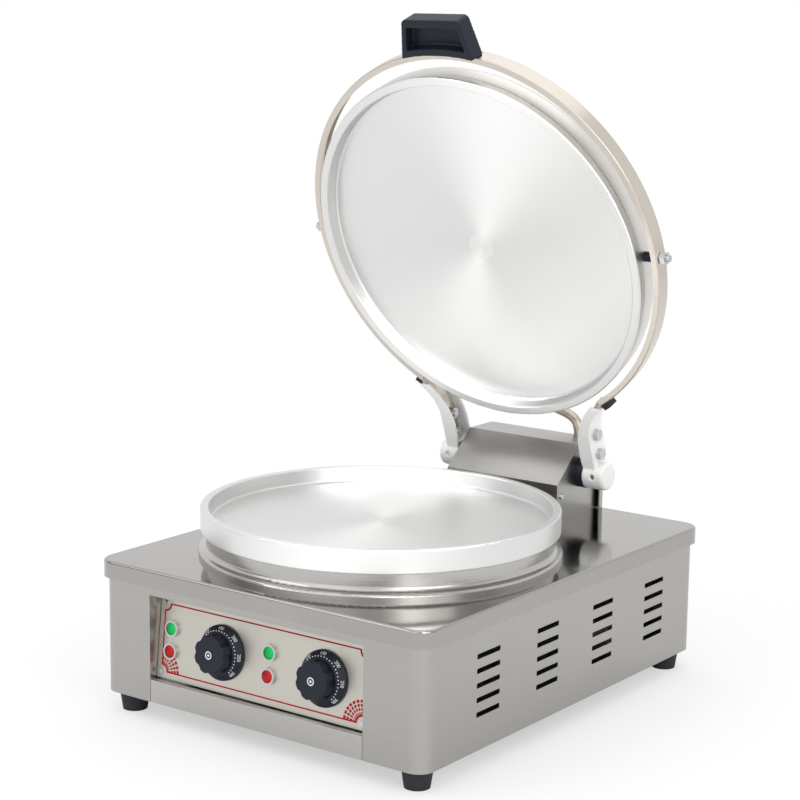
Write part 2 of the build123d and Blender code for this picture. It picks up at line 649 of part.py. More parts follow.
# Knobs: spindle, dial, grip and cap, one set for each thermostat
for side, knob_x in zip(("left", "right"), KNOB_X):
    knob_plane = at(panel_plane, *panel_point(knob_x, KNOB_Z))
    dial_top = DIAL_GAP + DIAL_HEIGHT
    with BuildPart() as spindle:
        with BuildSketch(knob_plane.offset(-SPINDLE_TAIL)):
            Circle(SPINDLE_RADIUS)
        extrude(amount=SPINDLE_TAIL + SPINDLE_REACH)
    spindle.part.label = side + "_spindle"
    export_step(spindle.part, "parts/" + side + "_spindle.step")

    with BuildPart() as dial:
        with BuildSketch(side_section(knob_plane)):
            with BuildLine():
                Polyline(
                    (DIAL_BORE, DIAL_GAP),
                    (DIAL_RADIUS, DIAL_GAP),
                    (DIAL_RADIUS, DIAL_GAP + DIAL_EDGE),
                    (DIAL_STEP_RADIUS, dial_top),
                    (DIAL_BORE, dial_top),
                    close=True,
                )
            make_face()
        revolve(axis=turning_axis(knob_plane))
    dial.part.label = side + "_dial"
    export_step(dial.part, "parts/" + side + "_dial.step")

    with BuildPart() as grip:
        with BuildSketch(knob_plane.offset(dial_top)) as grip_outline:
            Circle(GRIP_RADIUS)
            with PolarLocations(GRIP_RADIUS + SCALLOP_RADIUS - SCALLOP_DEPTH, GRIP_LOBES):
                Circle(SCALLOP_RADIUS, mode=Mode.SUBTRACT)
            fillet(grip_outline.vertices(), GRIP_ROUND)
        extrude(amount=GRIP_TOP - dial_top)
        fillet(grip.faces().sort_by(Axis.Y)[0].edges(), GRIP_ROUND)
        with BuildSketch(knob_plane.offset(DIAL_GAP)):
            Circle(DIAL_BORE - RUNNING_CLEARANCE)
        extrude(amount=DIAL_HEIGHT)
        with BuildSketch(knob_plane.offset(DIAL_GAP)):
            Circle(SPINDLE_RADIUS + RUNNING_CLEARANCE)
        extrude(amount=SPINDLE_REACH - DIAL_GAP + SEAT_GAP, mode=Mode.SUBTRACT)
    grip.part.label = side + "_grip"
    export_step(grip.part, "parts/" + side + "_grip.step")

    with BuildPart() as cap:
        with BuildSketch(knob_plane.offset(GRIP_TOP)):
            Circle(CAP_RADIUS)
        extrude(amount=CAP_HEIGHT)
    cap.part.label = side + "_cap"
    export_step(cap.part, "parts/" + side + "_cap.step")

# Lower pan
with BuildPart() as lower_pan:
    with BuildSketch(side_section(pan_ground)) as pan_profile:
        lip_inner = LOWER_PAN_RADIUS - LOWER_PAN_LIP
        with BuildLine():
            Polyline(
                (0, lower_pan_bottom),
                (LOWER_PAN_RADIUS, lower_pan_bottom),
                (LOWER_PAN_RADIUS, LOWER_RIM_TOP),
                (lip_inner, LOWER_RIM_TOP),
                (lip_inner - PAN_WALL_DRAFT, lower_floor_top),
                (0, lower_floor_top),
                close=True,
            )
        make_face()
        edge_corners = [
            (LOWER_PAN_RADIUS, lower_pan_bottom),
            (LOWER_PAN_RADIUS, LOWER_RIM_TOP),
            (lip_inner, LOWER_RIM_TOP),
        ]
        fillet(corners(pan_profile, edge_corners), PAN_EDGE_ROUND)
        fillet(corners(pan_profile, [(lip_inner - PAN_WALL_DRAFT, lower_floor_top)]), PAN_FLOOR_ROUND)
    revolve(axis=turning_axis(pan_ground))
lower_pan.part.label = "lower_pan"
export_step(lower_pan.part, "parts/lower_pan.step")

# Collar between the deck and the lower pan
with BuildPart() as pan_collar:
    with BuildSketch(side_section(pan_ground)) as collar_profile:
        collar_top = lower_pan_bottom - SEAT_GAP
        flare_top = DECK_TOP + COLLAR_LIP_TOP + COLLAR_FLARE
        lip_top = DECK_TOP + COLLAR_LIP_TOP
        with BuildLine():
            Polyline(
                (COLLAR_NECK_RADIUS, collar_top),
                (COLLAR_NECK_RADIUS, flare_top),
                (COLLAR_LIP_RADIUS, lip_top),
                (COLLAR_LIP_RADIUS, DECK_TOP),
                (COLLAR_LIP_RADIUS - SHEET, DECK_TOP),
                (COLLAR_LIP_RADIUS - SHEET, lip_top - SHEET),
                (COLLAR_NECK_RADIUS - SHEET, flare_top - SHEET),
                (COLLAR_NECK_RADIUS - SHEET, collar_top),
                close=True,
            )
        make_face()
        fillet(corners(collar_profile, [(COLLAR_NECK_RADIUS, flare_top)]), COLLAR_ROUND)
        inner_bend = (COLLAR_NECK_RADIUS - SHEET, flare_top - SHEET)
        fillet(corners(collar_profile, [inner_bend]), COLLAR_ROUND + SHEET)
        fillet(corners(collar_profile, [(COLLAR_LIP_RADIUS, lip_top)]), COLLAR_LIP_ROUND)
        lip_bend = (COLLAR_LIP_RADIUS - SHEET, lip_top - SHEET)
        fillet(corners(collar_profile, [lip_bend]), COLLAR_LIP_ROUND - SHEET)
    revolve(axis=turning_axis(pan_ground))
pan_collar.part.label = "pan_collar"
export_step(pan_collar.part, "parts/pan_collar.step")


def heater_path(start_gap):
    """Two turns of a heater element joined by a half turn, open on the +X side."""
    open_angle = degrees(start_gap)
    CenterArc((0, 0), HEATER_OUTER_TURN, open_angle, 360 - 2 * open_angle)
    CenterArc((0, 0), HEATER_INNER_TURN, open_angle, 360 - 2 * open_angle)
    middle = (HEATER_OUTER_TURN + HEATER_INNER_TURN) / 2
    half_gap = (HEATER_OUTER_TURN - HEATER_INNER_TURN) / 2
    outer = (HEATER_OUTER_TURN * cos(start_gap), HEATER_OUTER_TURN * sin(start_gap))
    inner = (HEATER_INNER_TURN * cos(start_gap), HEATER_INNER_TURN * sin(start_gap))
    bulge = (
        middle * cos(start_gap) + half_gap * sin(start_gap),
        middle * sin(start_gap) - half_gap * cos(start_gap),
    )
    ThreePointArc(outer, bulge, inner)


# Lower heater, clamp plate, insulation, studs and sensor
heater_middle_z = lower_pan_bottom - HEATER_RADIUS - HOLE_CLEARANCE
clamp_top = heater_middle_z - HEATER_RADIUS
insulation_top = clamp_top - CLAMP_THICKNESS
with BuildPart() as lower_heater:
    heater_plane = pan_ground.offset(heater_middle_z)
    with BuildLine(heater_plane) as heater_line:
        heater_path(heater_end)
    tip = heater_plane.from_local_coords(Vector(*heater_ends[0], 0))
    with BuildSketch(Plane(origin=tip, x_dir=(0, 0, 1), z_dir=(sin(heater_end), cos(heater_end), 0))):
        Circle(HEATER_RADIUS)
    sweep(path=heater_line.wires()[0])
    with BuildSketch(pan_ground.offset(HEATER_LEG_END)):
        with Locations(*heater_ends):
            Circle(HEATER_RADIUS)
    extrude(amount=heater_middle_z - HEATER_LEG_END)
lower_heater.part.label = "lower_heater"
export_step(lower_heater.part, "parts/lower_heater.step")

with BuildPart() as heater_clamp_plate:
    with BuildSketch(pan_ground.offset(insulation_top)):
        Circle(CLAMP_RADIUS)
        with Locations(*stud_points, *heater_ends):
            Circle(STUD_RADIUS + HOLE_CLEARANCE, mode=Mode.SUBTRACT)
        Circle(WIRING_HOLE_RADIUS, mode=Mode.SUBTRACT)
    extrude(amount=CLAMP_THICKNESS)
heater_clamp_plate.part.label = "heater_clamp_plate"
export_step(heater_clamp_plate.part, "parts/heater_clamp_plate.step")

with BuildPart() as lower_insulation:
    with BuildSketch(pan_ground.offset(DECK_TOP)):
        Circle(INSULATION_RADIUS)
        with Locations(*stud_points, *heater_ends):
            Circle(STUD_RADIUS + HOLE_CLEARANCE, mode=Mode.SUBTRACT)
        Circle(WIRING_HOLE_RADIUS, mode=Mode.SUBTRACT)
    extrude(amount=insulation_top - DECK_TOP)
lower_insulation.part.label = "lower_insulation"
export_step(lower_insulation.part, "parts/lower_insulation.step")

with BuildPart() as pan_studs:
    with BuildSketch(pan_ground.offset(STUD_END)):
        with Locations(*stud_points):
            Circle(STUD_RADIUS)
    extrude(amount=lower_pan_bottom - STUD_END)
pan_studs.part.label = "pan_studs"
export_step(pan_studs.part, "parts/pan_studs.step")

nut_corner_radius = NUT_ACROSS_FLATS / sqrt(3)
with BuildPart() as pan_nuts:
    with BuildSketch(pan_ground.offset(cabinet_top)):
        with Locations(*stud_points):
            RegularPolygon(nut_corner_radius, 6)
            Circle(STUD_RADIUS + RUNNING_CLEARANCE, mode=Mode.SUBTRACT)
    extrude(amount=-NUT_HEIGHT)
pan_nuts.part.label = "pan_nuts"
export_step(pan_nuts.part, "parts/pan_nuts.step")

# Sensor bulb under the lower pan, whose capillary runs to the right thermostat
bulb_z = lower_pan_bottom - BULB_RADIUS - HOLE_CLEARANCE
capillary_end = at(panel_plane, *panel_point(KNOB_X[1], KNOB_Z)).offset(
    -PANEL_THICKNESS - THERMOSTAT_DEPTH - HOLE_CLEARANCE
)
with BuildPart() as lower_sensor:
    bulb_plane = Plane(
        origin=(-BULB_LENGTH / 2, PAN_Y + BULB_OFFSET, bulb_z), x_dir=(0, 1, 0), z_dir=(1, 0, 0)
    )
    with BuildSketch(bulb_plane):
        Circle(BULB_RADIUS)
    extrude(amount=BULB_LENGTH / 2)
    capillary_start = Vector(0, PAN_Y + BULB_OFFSET, bulb_z)
    route = [
        capillary_start,
        Vector(0, PAN_Y + BULB_OFFSET - 30, bulb_z),
        Vector(0, PAN_Y, bulb_z - 6),
        Vector(0, PAN_Y, 150),
        Vector(30, PAN_Y - 30, 112),
        Vector(KNOB_X[1], PAN_Y - 100, capillary_end.origin.Z + 4),
        capillary_end.origin,
    ]
    with BuildLine() as capillary_line:
        FilletPolyline(*route, radius=9)
    with BuildSketch(Plane(origin=capillary_start, z_dir=(0, -1, 0))):
        Circle(CAPILLARY_RADIUS)
    sweep(path=capillary_line.wires()[0])
lower_sensor.part.label = "lower_sensor"
export_step(lower_sensor.part, "parts/lower_sensor.step")

# Terminal block and mains inlet
with BuildPart() as terminal_block:
    with BuildSketch(Plane.XY.offset(base_plate_bottom + SHEET)):
        with Locations((CORD_GLAND_X, TERMINAL_BLOCK_Y)):
            Rectangle(TERMINAL_BLOCK_LENGTH, TERMINAL_BLOCK_DEPTH)
    extrude(amount=TERMINAL_BLOCK_HEIGHT)
    with BuildSketch(Plane.XY.offset(base_plate_bottom + SHEET + TERMINAL_BLOCK_HEIGHT)):
        with Locations((CORD_GLAND_X, TERMINAL_BLOCK_Y)):
            with GridLocations(TERMINAL_BLOCK_LENGTH / 5, TERMINAL_BLOCK_DEPTH / 2, 5, 2):
                Circle(TERMINAL_BLOCK_DEPTH / 8)
    extrude(amount=-TERMINAL_BLOCK_HEIGHT / 2, mode=Mode.SUBTRACT)
terminal_block.part.label = "terminal_block"
export_step(terminal_block.part, "parts/terminal_block.step")

with BuildPart() as cord_gland:
    gland_wall = Plane.XZ.offset(-wall_half_y)
    with BuildSketch(gland_wall):
        with Locations((CORD_GLAND_X, CORD_GLAND_Z)):
            RegularPolygon(CORD_GLAND_HEX / sqrt(3), 6)
    extrude(amount=-CORD_GLAND_REACH / 2)
    with BuildSketch(gland_wall.offset(-CORD_GLAND_REACH / 2)):
        with Locations((CORD_GLAND_X, CORD_GLAND_Z)):
            Circle(CORD_GLAND_HEX / 2 - SHEET)
    extrude(amount=-CORD_GLAND_REACH / 2, taper=HEAD_TAPER)
    with BuildSketch(gland_wall):
        with Locations((CORD_GLAND_X, CORD_GLAND_Z)):
            Circle(CORD_GLAND_THREAD_RADIUS)
    extrude(amount=CORD_GLAND_REACH)
    with BuildSketch(gland_wall.offset(SHEET)):
        with Locations((CORD_GLAND_X, CORD_GLAND_Z)):
            RegularPolygon(CORD_GLAND_HEX / sqrt(3), 6)
    extrude(amount=CORD_GLAND_REACH / 3)
    with BuildSketch(gland_wall.offset(CORD_GLAND_REACH)):
        with Locations((CORD_GLAND_X, CORD_GLAND_Z)):
            Circle(CORD_GLAND_BORE)
    extrude(amount=-2 * CORD_GLAND_REACH, mode=Mode.SUBTRACT)
cord_gland.part.label = "cord_gland"
export_step(cord_gland.part, "parts/cord_gland.step")

# Hinge box: inner bracket, cover, back plate, bushings and balance springs
shaft_point = (HINGE_Y, HINGE_Z)
cheek_x = BOX_HALF_WIDTH - COVER_SHEET - SEAT_GAP
with BuildPart() as hinge_bracket:
    with BuildSketch(Plane.YZ.offset(-cheek_x)):
        with BuildLine():
            Polyline(
                (BRACKET_FRONT_Y, DECK_TOP),
                (BRACKET_FRONT_Y, BRACKET_SHOULDER_Z),
                (BOX_SLANT_Y - BRACKET_PLATE, BRACKET_TOP_Z),
                (BRACKET_BACK_Y, BRACKET_TOP_Z),
                (BRACKET_BACK_Y, DECK_TOP),
                close=True,
            )
        make_face()
        with Locations(shaft_point):
            Circle(BUSHING_NECK_RADIUS + RUNNING_CLEARANCE, mode=Mode.SUBTRACT)
        with Locations((COVER_SCREW_Y, COVER_SCREW_Z)):
            Circle(COVER_SCREW_RADIUS + RUNNING_CLEARANCE, mode=Mode.SUBTRACT)
    extrude(amount=2 * cheek_x)
    with BuildSketch(Plane.YZ.offset(-cheek_x + BRACKET_PLATE)):
        with Locations(((BRACKET_FRONT_Y + BRACKET_BACK_Y) / 2, DECK_TOP + BRACKET_PLATE)):
            Rectangle(
                2 * (BRACKET_BACK_Y - BRACKET_FRONT_Y),
                2 * (BRACKET_TOP_Z - DECK_TOP),
                align=(Align.CENTER, Align.MIN),
            )
    extrude(amount=2 * (cheek_x - BRACKET_PLATE), mode=Mode.SUBTRACT)
    with BuildSketch(Plane.XY.offset(DECK_TOP)):
        with Locations(*bracket_bolt_points):
            Circle(ARM_BOLT_RADIUS + HOLE_CLEARANCE)
        with Locations(wiring_point):
            Circle(WIRING_HOLE_RADIUS)
    extrude(amount=BRACKET_PLATE, mode=Mode.SUBTRACT)
hinge_bracket.part.label = "hinge_bracket"
export_step(hinge_bracket.part, "parts/hinge_bracket.step")

with BuildPart() as bracket_bolts:
    bolt_seat = DECK_TOP + BRACKET_PLATE
    with BuildSketch(Plane.XY.offset(bolt_seat)):
        with Locations(*bracket_bolt_points):
            RegularPolygon(nut_corner_radius, 6)
    extrude(amount=BOLT_HEAD_HEIGHT)
    with BuildSketch(Plane.XY.offset(bolt_seat)):
        with Locations(*bracket_bolt_points):
            Circle(ARM_BOLT_RADIUS)
    extrude(amount=-BRACKET_PLATE - BRACKET_BOLT_REACH)
bracket_bolts.part.label = "bracket_bolts"
export_step(bracket_bolts.part, "parts/bracket_bolts.step")

with BuildPart() as bracket_nuts:
    with BuildSketch(Plane.XY.offset(cabinet_top)):
        with Locations(*bracket_bolt_points):
            RegularPolygon(nut_corner_radius, 6)
            Circle(ARM_BOLT_RADIUS + RUNNING_CLEARANCE, mode=Mode.SUBTRACT)
    extrude(amount=-NUT_HEIGHT)
bracket_nuts.part.label = "bracket_nuts"
export_step(bracket_nuts.part, "parts/bracket_nuts.step")


def cover_outline(inset):
    """The hinge cover's side outline, drawn in by a wall's thickness."""
    slope = atan2(BOX_TOP - BOX_FRONT_TOP, BOX_SLANT_Y - BOX_FRONT_Y)
    front_shift = inset * (1 - sin(slope)) / cos(slope)
    top_shift = inset * (1 - cos(slope)) / sin(slope)
    Polyline(
        (BOX_FRONT_Y + inset, DECK_TOP),
        (BOX_FRONT_Y + inset, BOX_FRONT_TOP - front_shift),
        (BOX_SLANT_Y + top_shift, BOX_TOP - inset),
        (deck_back_y - inset, BOX_TOP - inset),
        (deck_back_y - inset, BOX_STEP_Z + (inset if inset else 0)),
        (BOX_SIDE_BACK_Y, BOX_STEP_Z + (inset if inset else 0)),
        (BOX_SIDE_BACK_Y, DECK_TOP),
        close=True,
    )


with BuildPart() as hinge_cover:
    with BuildSketch(Plane.YZ.offset(-BOX_HALF_WIDTH)):
        with BuildLine():
            cover_outline(0)
        make_face()
    extrude(amount=2 * BOX_HALF_WIDTH)
    with BuildSketch(Plane.YZ.offset(-BOX_HALF_WIDTH + COVER_SHEET)):
        with BuildLine():
            cover_outline(COVER_SHEET)
        make_face()
    extrude(amount=2 * (BOX_HALF_WIDTH - COVER_SHEET), mode=Mode.SUBTRACT)
    with BuildSketch(Plane.YZ.offset(-2 * BOX_HALF_WIDTH)):
        with Locations(shaft_point):
            Circle(BUSHING_NECK_RADIUS + HOLE_CLEARANCE)
        with Locations((COVER_SCREW_Y, COVER_SCREW_Z)):
            Circle(COVER_SCREW_RADIUS + HOLE_CLEARANCE)
    extrude(amount=4 * BOX_HALF_WIDTH, mode=Mode.SUBTRACT)
    with BuildSketch(Plane.XZ.offset(-deck_back_y)):
        with Locations((CONDUIT_X, ELBOW_BOTTOM - HOLE_CLEARANCE)):
            Rectangle(
                2 * (ELBOW_RADIUS + SEAT_GAP),
                ELBOW_TOP - ELBOW_BOTTOM + 2 * HOLE_CLEARANCE,
                align=(Align.CENTER, Align.MIN),
            )
    extrude(amount=COVER_SHEET, mode=Mode.SUBTRACT)
hinge_cover.part.label = "hinge_cover"
export_step(hinge_cover.part, "parts/hinge_cover.step")

with BuildPart() as hinge_cover_screws:
    for sx in (-1, 1):
        with BuildSketch(Plane.YZ.offset(sx * BOX_HALF_WIDTH)):
            with Locations((COVER_SCREW_Y, COVER_SCREW_Z)):
                Circle(COVER_SCREW_HEAD_RADIUS)
        extrude(amount=sx * COVER_SCREW_HEAD_HEIGHT, taper=HEAD_TAPER)
        with BuildSketch(Plane.YZ.offset(sx * BOX_HALF_WIDTH)):
            with Locations((COVER_SCREW_Y, COVER_SCREW_Z)):
                Circle(COVER_SCREW_RADIUS)
        extrude(amount=-sx * (COVER_SHEET + BRACKET_PLATE))
hinge_cover_screws.part.label = "hinge_cover_screws"
export_step(hinge_cover_screws.part, "parts/hinge_cover_screws.step")

with BuildPart() as hinge_back_plate:
    back_width = 2 * BACK_PLATE_HALF_WIDTH
    with BuildSketch(Plane.XY.offset(DECK_TOP)):
        with Locations((0, deck_back_y)):
            Rectangle(back_width, BACK_PLATE_DEPTH, align=(Align.CENTER, Align.MAX))
    extrude(amount=BACK_PLATE_TOP - DECK_TOP)
    with BuildSketch(Plane.XY.offset(DECK_TOP + SHEET)):
        with Locations((0, deck_back_y - SHEET)):
            Rectangle(back_width - 2 * SHEET, BACK_PLATE_DEPTH, align=(Align.CENTER, Align.MAX))
    extrude(amount=BACK_PLATE_TOP - DECK_TOP - 2 * SHEET, mode=Mode.SUBTRACT)
hinge_back_plate.part.label = "hinge_back_plate"
export_step(hinge_back_plate.part, "parts/hinge_back_plate.step")

with BuildPart() as hinge_bushings:
    for sx in (-1, 1):
        with BuildSketch(Plane.YZ.offset(sx * BOX_HALF_WIDTH)):
            with Locations(shaft_point):
                Circle(BUSHING_RADIUS)
        extrude(amount=sx * (HUB_INNER_X - SEAT_GAP - BOX_HALF_WIDTH))
        with BuildSketch(Plane.YZ.offset(sx * BOX_HALF_WIDTH)):
            with Locations(shaft_point):
                Circle(BUSHING_NECK_RADIUS)
        extrude(amount=-sx * (COVER_SHEET + SEAT_GAP + BRACKET_PLATE))
    with BuildSketch(Plane.YZ.offset(-HUB_INNER_X)):
        with Locations(shaft_point):
            Circle(SHAFT_RADIUS + RUNNING_CLEARANCE)
    extrude(amount=2 * HUB_INNER_X, mode=Mode.SUBTRACT)
hinge_bushings.part.label = "hinge_bushings"
export_step(hinge_bushings.part, "parts/hinge_bushings.step")

with BuildPart() as balance_springs:
    spring_outer = SPRING_INNER_RADIUS + SPRING_WIRE
    spring_leg_y = HINGE_Y - SPRING_INNER_RADIUS - SPRING_WIRE / 2
    for sx in (-1, 1):
        with BuildSketch(Plane.YZ.offset(sx * SPRING_START_X)):
            with Locations(shaft_point):
                Circle(spring_outer)
                Circle(SPRING_INNER_RADIUS, mode=Mode.SUBTRACT)
        extrude(amount=sx * SPRING_LENGTH)
        end_x = sx * (SPRING_START_X + SPRING_LENGTH - SPRING_WIRE)
        spring_foot = Plane.XY.offset(DECK_TOP + BRACKET_PLATE)
        with BuildSketch(spring_foot):
            with Locations((end_x, spring_leg_y)):
                Circle(SPRING_LEG_RADIUS)
        extrude(amount=HINGE_Z - DECK_TOP - BRACKET_PLATE)
balance_springs.part.label = "balance_springs"
export_step(balance_springs.part, "parts/balance_springs.step")

# Hinge shaft, which turns in the bushings and carries both arms
with BuildPart() as hinge_shaft:
    with BuildSketch(Plane.YZ.offset(-SHAFT_END_X)):
        with Locations(shaft_point):
            Circle(SHAFT_RADIUS)
    extrude(amount=2 * SHAFT_END_X)
    spring_catch = SPRING_START_X - SEAT_GAP
    with BuildSketch(Plane.YZ.offset(-spring_catch)):
        with Locations(shaft_point):
            Circle(SPRING_INNER_RADIUS + SPRING_WIRE)
    extrude(amount=2 * spring_catch)
hinge_shaft.part.label = "hinge_shaft"
export_step(hinge_shaft.part, "parts/hinge_shaft.step")

# Hoop: a C-shaped channel whose tails run down inside the arms
end_turn = radians(HOOP_END_ANGLE)
band_end = (HOOP_RADIUS * sin(end_turn), PIVOT_REACH - HOOP_RADIUS * cos(end_turn))
bend_radius = (band_end[0] - ARM_WEB_X) / (1 - sin(end_turn))
bend_centre = (ARM_WEB_X + bend_radius, band_end[1] - bend_radius * cos(end_turn))


def bend_point(radius, angle_from_side):
    """A place on the S-bend between the hoop and the arm, in the lid's plane."""
    turn = radians(angle_from_side)
    return (bend_centre[0] - radius * cos(turn), bend_centre[1] + radius * sin(turn))


def sided(point, sx):
    """The same place on the right (1) or left (-1) side of the lid."""
    return (sx * point[0], point[1])


bend_sweep = 90 - HOOP_END_ANGLE
hoop_half = HOOP_DEPTH / 2
inner_web = HOOP_RADIUS - SHEET
start_radial = Vector(hoop_plane.x_dir * sin(end_turn) - hoop_plane.y_dir * cos(end_turn))
hoop_section = Plane(
    origin=hoop_plane.origin, x_dir=start_radial, z_dir=start_radial.cross(hoop_plane.z_dir)
)
tail_half = hoop_half - SEAT_GAP
with BuildPart() as lid_hoop:
    with BuildSketch(hoop_section) as channel:
        with BuildLine():
            Polyline(
                (HOOP_RADIUS, -hoop_half),
                (HOOP_RADIUS, hoop_half),
                (HOOP_RADIUS - HOOP_FRONT_FLANGE, hoop_half),
                (HOOP_RADIUS - HOOP_FRONT_FLANGE, hoop_half - SHEET),
                (inner_web, hoop_half - SHEET),
                (inner_web, -hoop_half + SHEET),
                (HOOP_RADIUS - HOOP_REAR_FLANGE, -hoop_half + SHEET),
                (HOOP_RADIUS - HOOP_REAR_FLANGE, -hoop_half),
                close=True,
            )
        make_face()
        outer_corners = [(HOOP_RADIUS, -hoop_half), (HOOP_RADIUS, hoop_half)]
        fillet(corners(channel, outer_corners), SHEET)
    revolve(axis=turning_axis(hoop_plane), revolution_arc=360 - 2 * HOOP_END_ANGLE)
    for sx in (-1, 1):
        with BuildSketch(lid_plane.offset(-PIVOT_SETBACK - tail_half)):
            with BuildLine():
                tail_outer = [bend_point(bend_radius, a) for a in (bend_sweep, bend_sweep / 2, 0)]
                tail_inner = [bend_point(bend_radius + SHEET, a) for a in (0, bend_sweep / 2, bend_sweep)]
                ThreePointArc(*[sided(p, sx) for p in tail_outer])
                Polyline(
                    sided(tail_outer[2], sx),
                    sided((ARM_WEB_X, TAIL_END), sx),
                    sided((ARM_WEB_X - SHEET, TAIL_END), sx),
                    sided(tail_inner[0], sx),
                )
                ThreePointArc(*[sided(p, sx) for p in tail_inner])
                Line(sided(tail_inner[2], sx), sided(tail_outer[0], sx))
            make_face()
        extrude(amount=2 * tail_half)
    side_view = Plane(origin=hinge_point, x_dir=lid_plane.y_dir, z_dir=x_direction)
    with BuildSketch(side_view.offset(-HOOP_RADIUS)):
        with Locations(*[(v, ARM_BOLT_N) for v in ARM_BOLT_V]):
            Circle(ARM_BOLT_RADIUS + RUNNING_CLEARANCE)
    extrude(amount=2 * HOOP_RADIUS, mode=Mode.SUBTRACT)
    with BuildSketch(side_view.offset(-HOOP_RADIUS - SHEET)):
        with Locations((PIVOT_REACH, -PIVOT_SETBACK)):
            Circle(PIVOT_BOLT_RADIUS + RUNNING_CLEARANCE)
    extrude(amount=2 * (HOOP_RADIUS + SHEET), mode=Mode.SUBTRACT)
    handle_screw_plane = Plane(
        origin=hoop_plane.origin + hoop_plane.z_dir * HANDLE_SCREW_N,
        x_dir=x_direction,
        z_dir=hoop_plane.y_dir,
    )
    with BuildSketch(handle_screw_plane):
        with Locations((-HANDLE_SCREW_X, 0), (HANDLE_SCREW_X, 0)):
            Circle(HANDLE_SCREW_RADIUS + HOLE_CLEARANCE)
    extrude(amount=HOOP_RADIUS + SHEET, mode=Mode.SUBTRACT)
lid_hoop.part.label = "lid_hoop"
export_step(lid_hoop.part, "parts/lid_hoop.step")

# Arms: cast channels with a hub at the foot, open towards the middle
arm_outer_x = ARM_WEB_X + ARM_WALL
arm_inner_x = arm_outer_x - ARM_WIDTH
for side, sx in (("left", -1), ("right", 1)):
    with BuildPart() as arm:
        with BuildSketch(lid_plane.offset(-ARM_REAR)):
            with BuildLine():
                web_arc = [bend_point(bend_radius - ARM_WALL, a) for a in (0, bend_sweep / 2, bend_sweep)]
                Polyline(
                    sided((HUB_INNER_X, 0), sx),
                    sided((arm_outer_x, 0), sx),
                    sided(web_arc[0], sx),
                )
                ThreePointArc(*[sided(p, sx) for p in web_arc])
                Line(sided(web_arc[2], sx), sided((ARM_TIP_X, ARM_TIP_V), sx))
                ThreePointArc(
                    sided((ARM_TIP_X, ARM_TIP_V), sx),
                    sided((ARM_MID_X, ARM_MID_V), sx),
                    sided((arm_inner_x, ARM_KNEE_V), sx),
                )
                Polyline(
                    sided((arm_inner_x, ARM_KNEE_V), sx),
                    sided((arm_inner_x, BUSHING_RADIUS + HUB_INNER_X - arm_inner_x), sx),
                    sided((HUB_INNER_X, BUSHING_RADIUS), sx),
                    sided((HUB_INNER_X, 0), sx),
                )
            make_face()
        extrude(amount=ARM_REAR + ARM_FRONT)
        with BuildSketch(side_view.offset(sx * (arm_inner_x - SHEET))):
            with BuildLine():
                Polyline(
                    (0, HUB_RADIUS * 0.9),
                    (HUB_RADIUS * 0.7, HUB_RADIUS * 0.7),
                    (ARM_KNEE_V, ARM_FRONT),
                    (2 * ARM_TIP_V, ARM_FRONT),
                    (2 * ARM_TIP_V, -ARM_REAR),
                    (ARM_KNEE_V / 2, -ARM_REAR),
                    (0, -HUB_RADIUS * 0.9),
                    close=True,
                )
            make_face()
        extrude(amount=sx * HOOP_RADIUS, mode=Mode.INTERSECT)
        with BuildSketch(lid_plane.offset(ARM_WALL - ARM_REAR)):
            with BuildLine():
                mouth_arc = [bend_point(bend_radius, a) for a in (0, bend_sweep / 2, bend_sweep)]
                Polyline(
                    sided((arm_inner_x - ARM_WALL, ARM_MOUTH_START), sx),
                    sided((ARM_WEB_X, ARM_MOUTH_START), sx),
                    sided(mouth_arc[0], sx),
                )
                ThreePointArc(*[sided(p, sx) for p in mouth_arc])
                Polyline(
                    sided(mouth_arc[2], sx),
                    sided((mouth_arc[2][0] - ARM_WIDTH, mouth_arc[2][1] + ARM_WIDTH), sx),
                    sided((arm_inner_x - ARM_WALL, ARM_TIP_V), sx),
                    sided((arm_inner_x - ARM_WALL, ARM_MOUTH_START), sx),
                )
            make_face()
        extrude(amount=ARM_REAR + ARM_FRONT - 2 * ARM_WALL, mode=Mode.SUBTRACT)
        with BuildSketch(side_view.offset(sx * HUB_INNER_X)):
            Circle(HUB_RADIUS)
        extrude(amount=sx * (HUB_OUTER_X - HUB_INNER_X))
        hub_end = hinge_point + x_direction * (sx * HUB_OUTER_X)
        fillet(arm.faces().sort_by_distance(hub_end)[0].edges(), HUB_ROUND)
        with BuildSketch(side_view.offset(sx * HUB_INNER_X)):
            Circle(SHAFT_RADIUS + RUNNING_CLEARANCE)
        extrude(amount=sx * (SHAFT_END_X - HUB_INNER_X + SEAT_GAP), mode=Mode.SUBTRACT)
        with BuildSketch(side_view.offset(sx * ARM_WEB_X)):
            with Locations(*[(v, ARM_BOLT_N) for v in ARM_BOLT_V]):
                Circle(ARM_BOLT_RADIUS + HOLE_CLEARANCE)
        extrude(amount=sx * HUB_OUTER_X, mode=Mode.SUBTRACT)
        with BuildSketch(side_view.offset(sx * arm_outer_x)):
            with Locations(*[(v, ARM_BOLT_N) for v in ARM_BOLT_V]):
                Circle(SPOT_FACE_RADIUS)
        extrude(amount=sx * HUB_ROUND, mode=Mode.SUBTRACT)
        grub_x = sx * (HUB_INNER_X + HUB_OUTER_X) / 2
        grub_plane = Plane(
            origin=hinge_point + x_direction * grub_x, x_dir=x_direction, z_dir=(0, -1, 0)
        )
        with BuildSketch(grub_plane.offset(SHAFT_RADIUS)):
            Circle(GRUB_RADIUS + RUNNING_CLEARANCE)
        extrude(amount=HUB_RADIUS, mode=Mode.SUBTRACT)
    arm.part.label = "arm_" + side
    export_step(arm.part, "parts/arm_" + side + ".step")

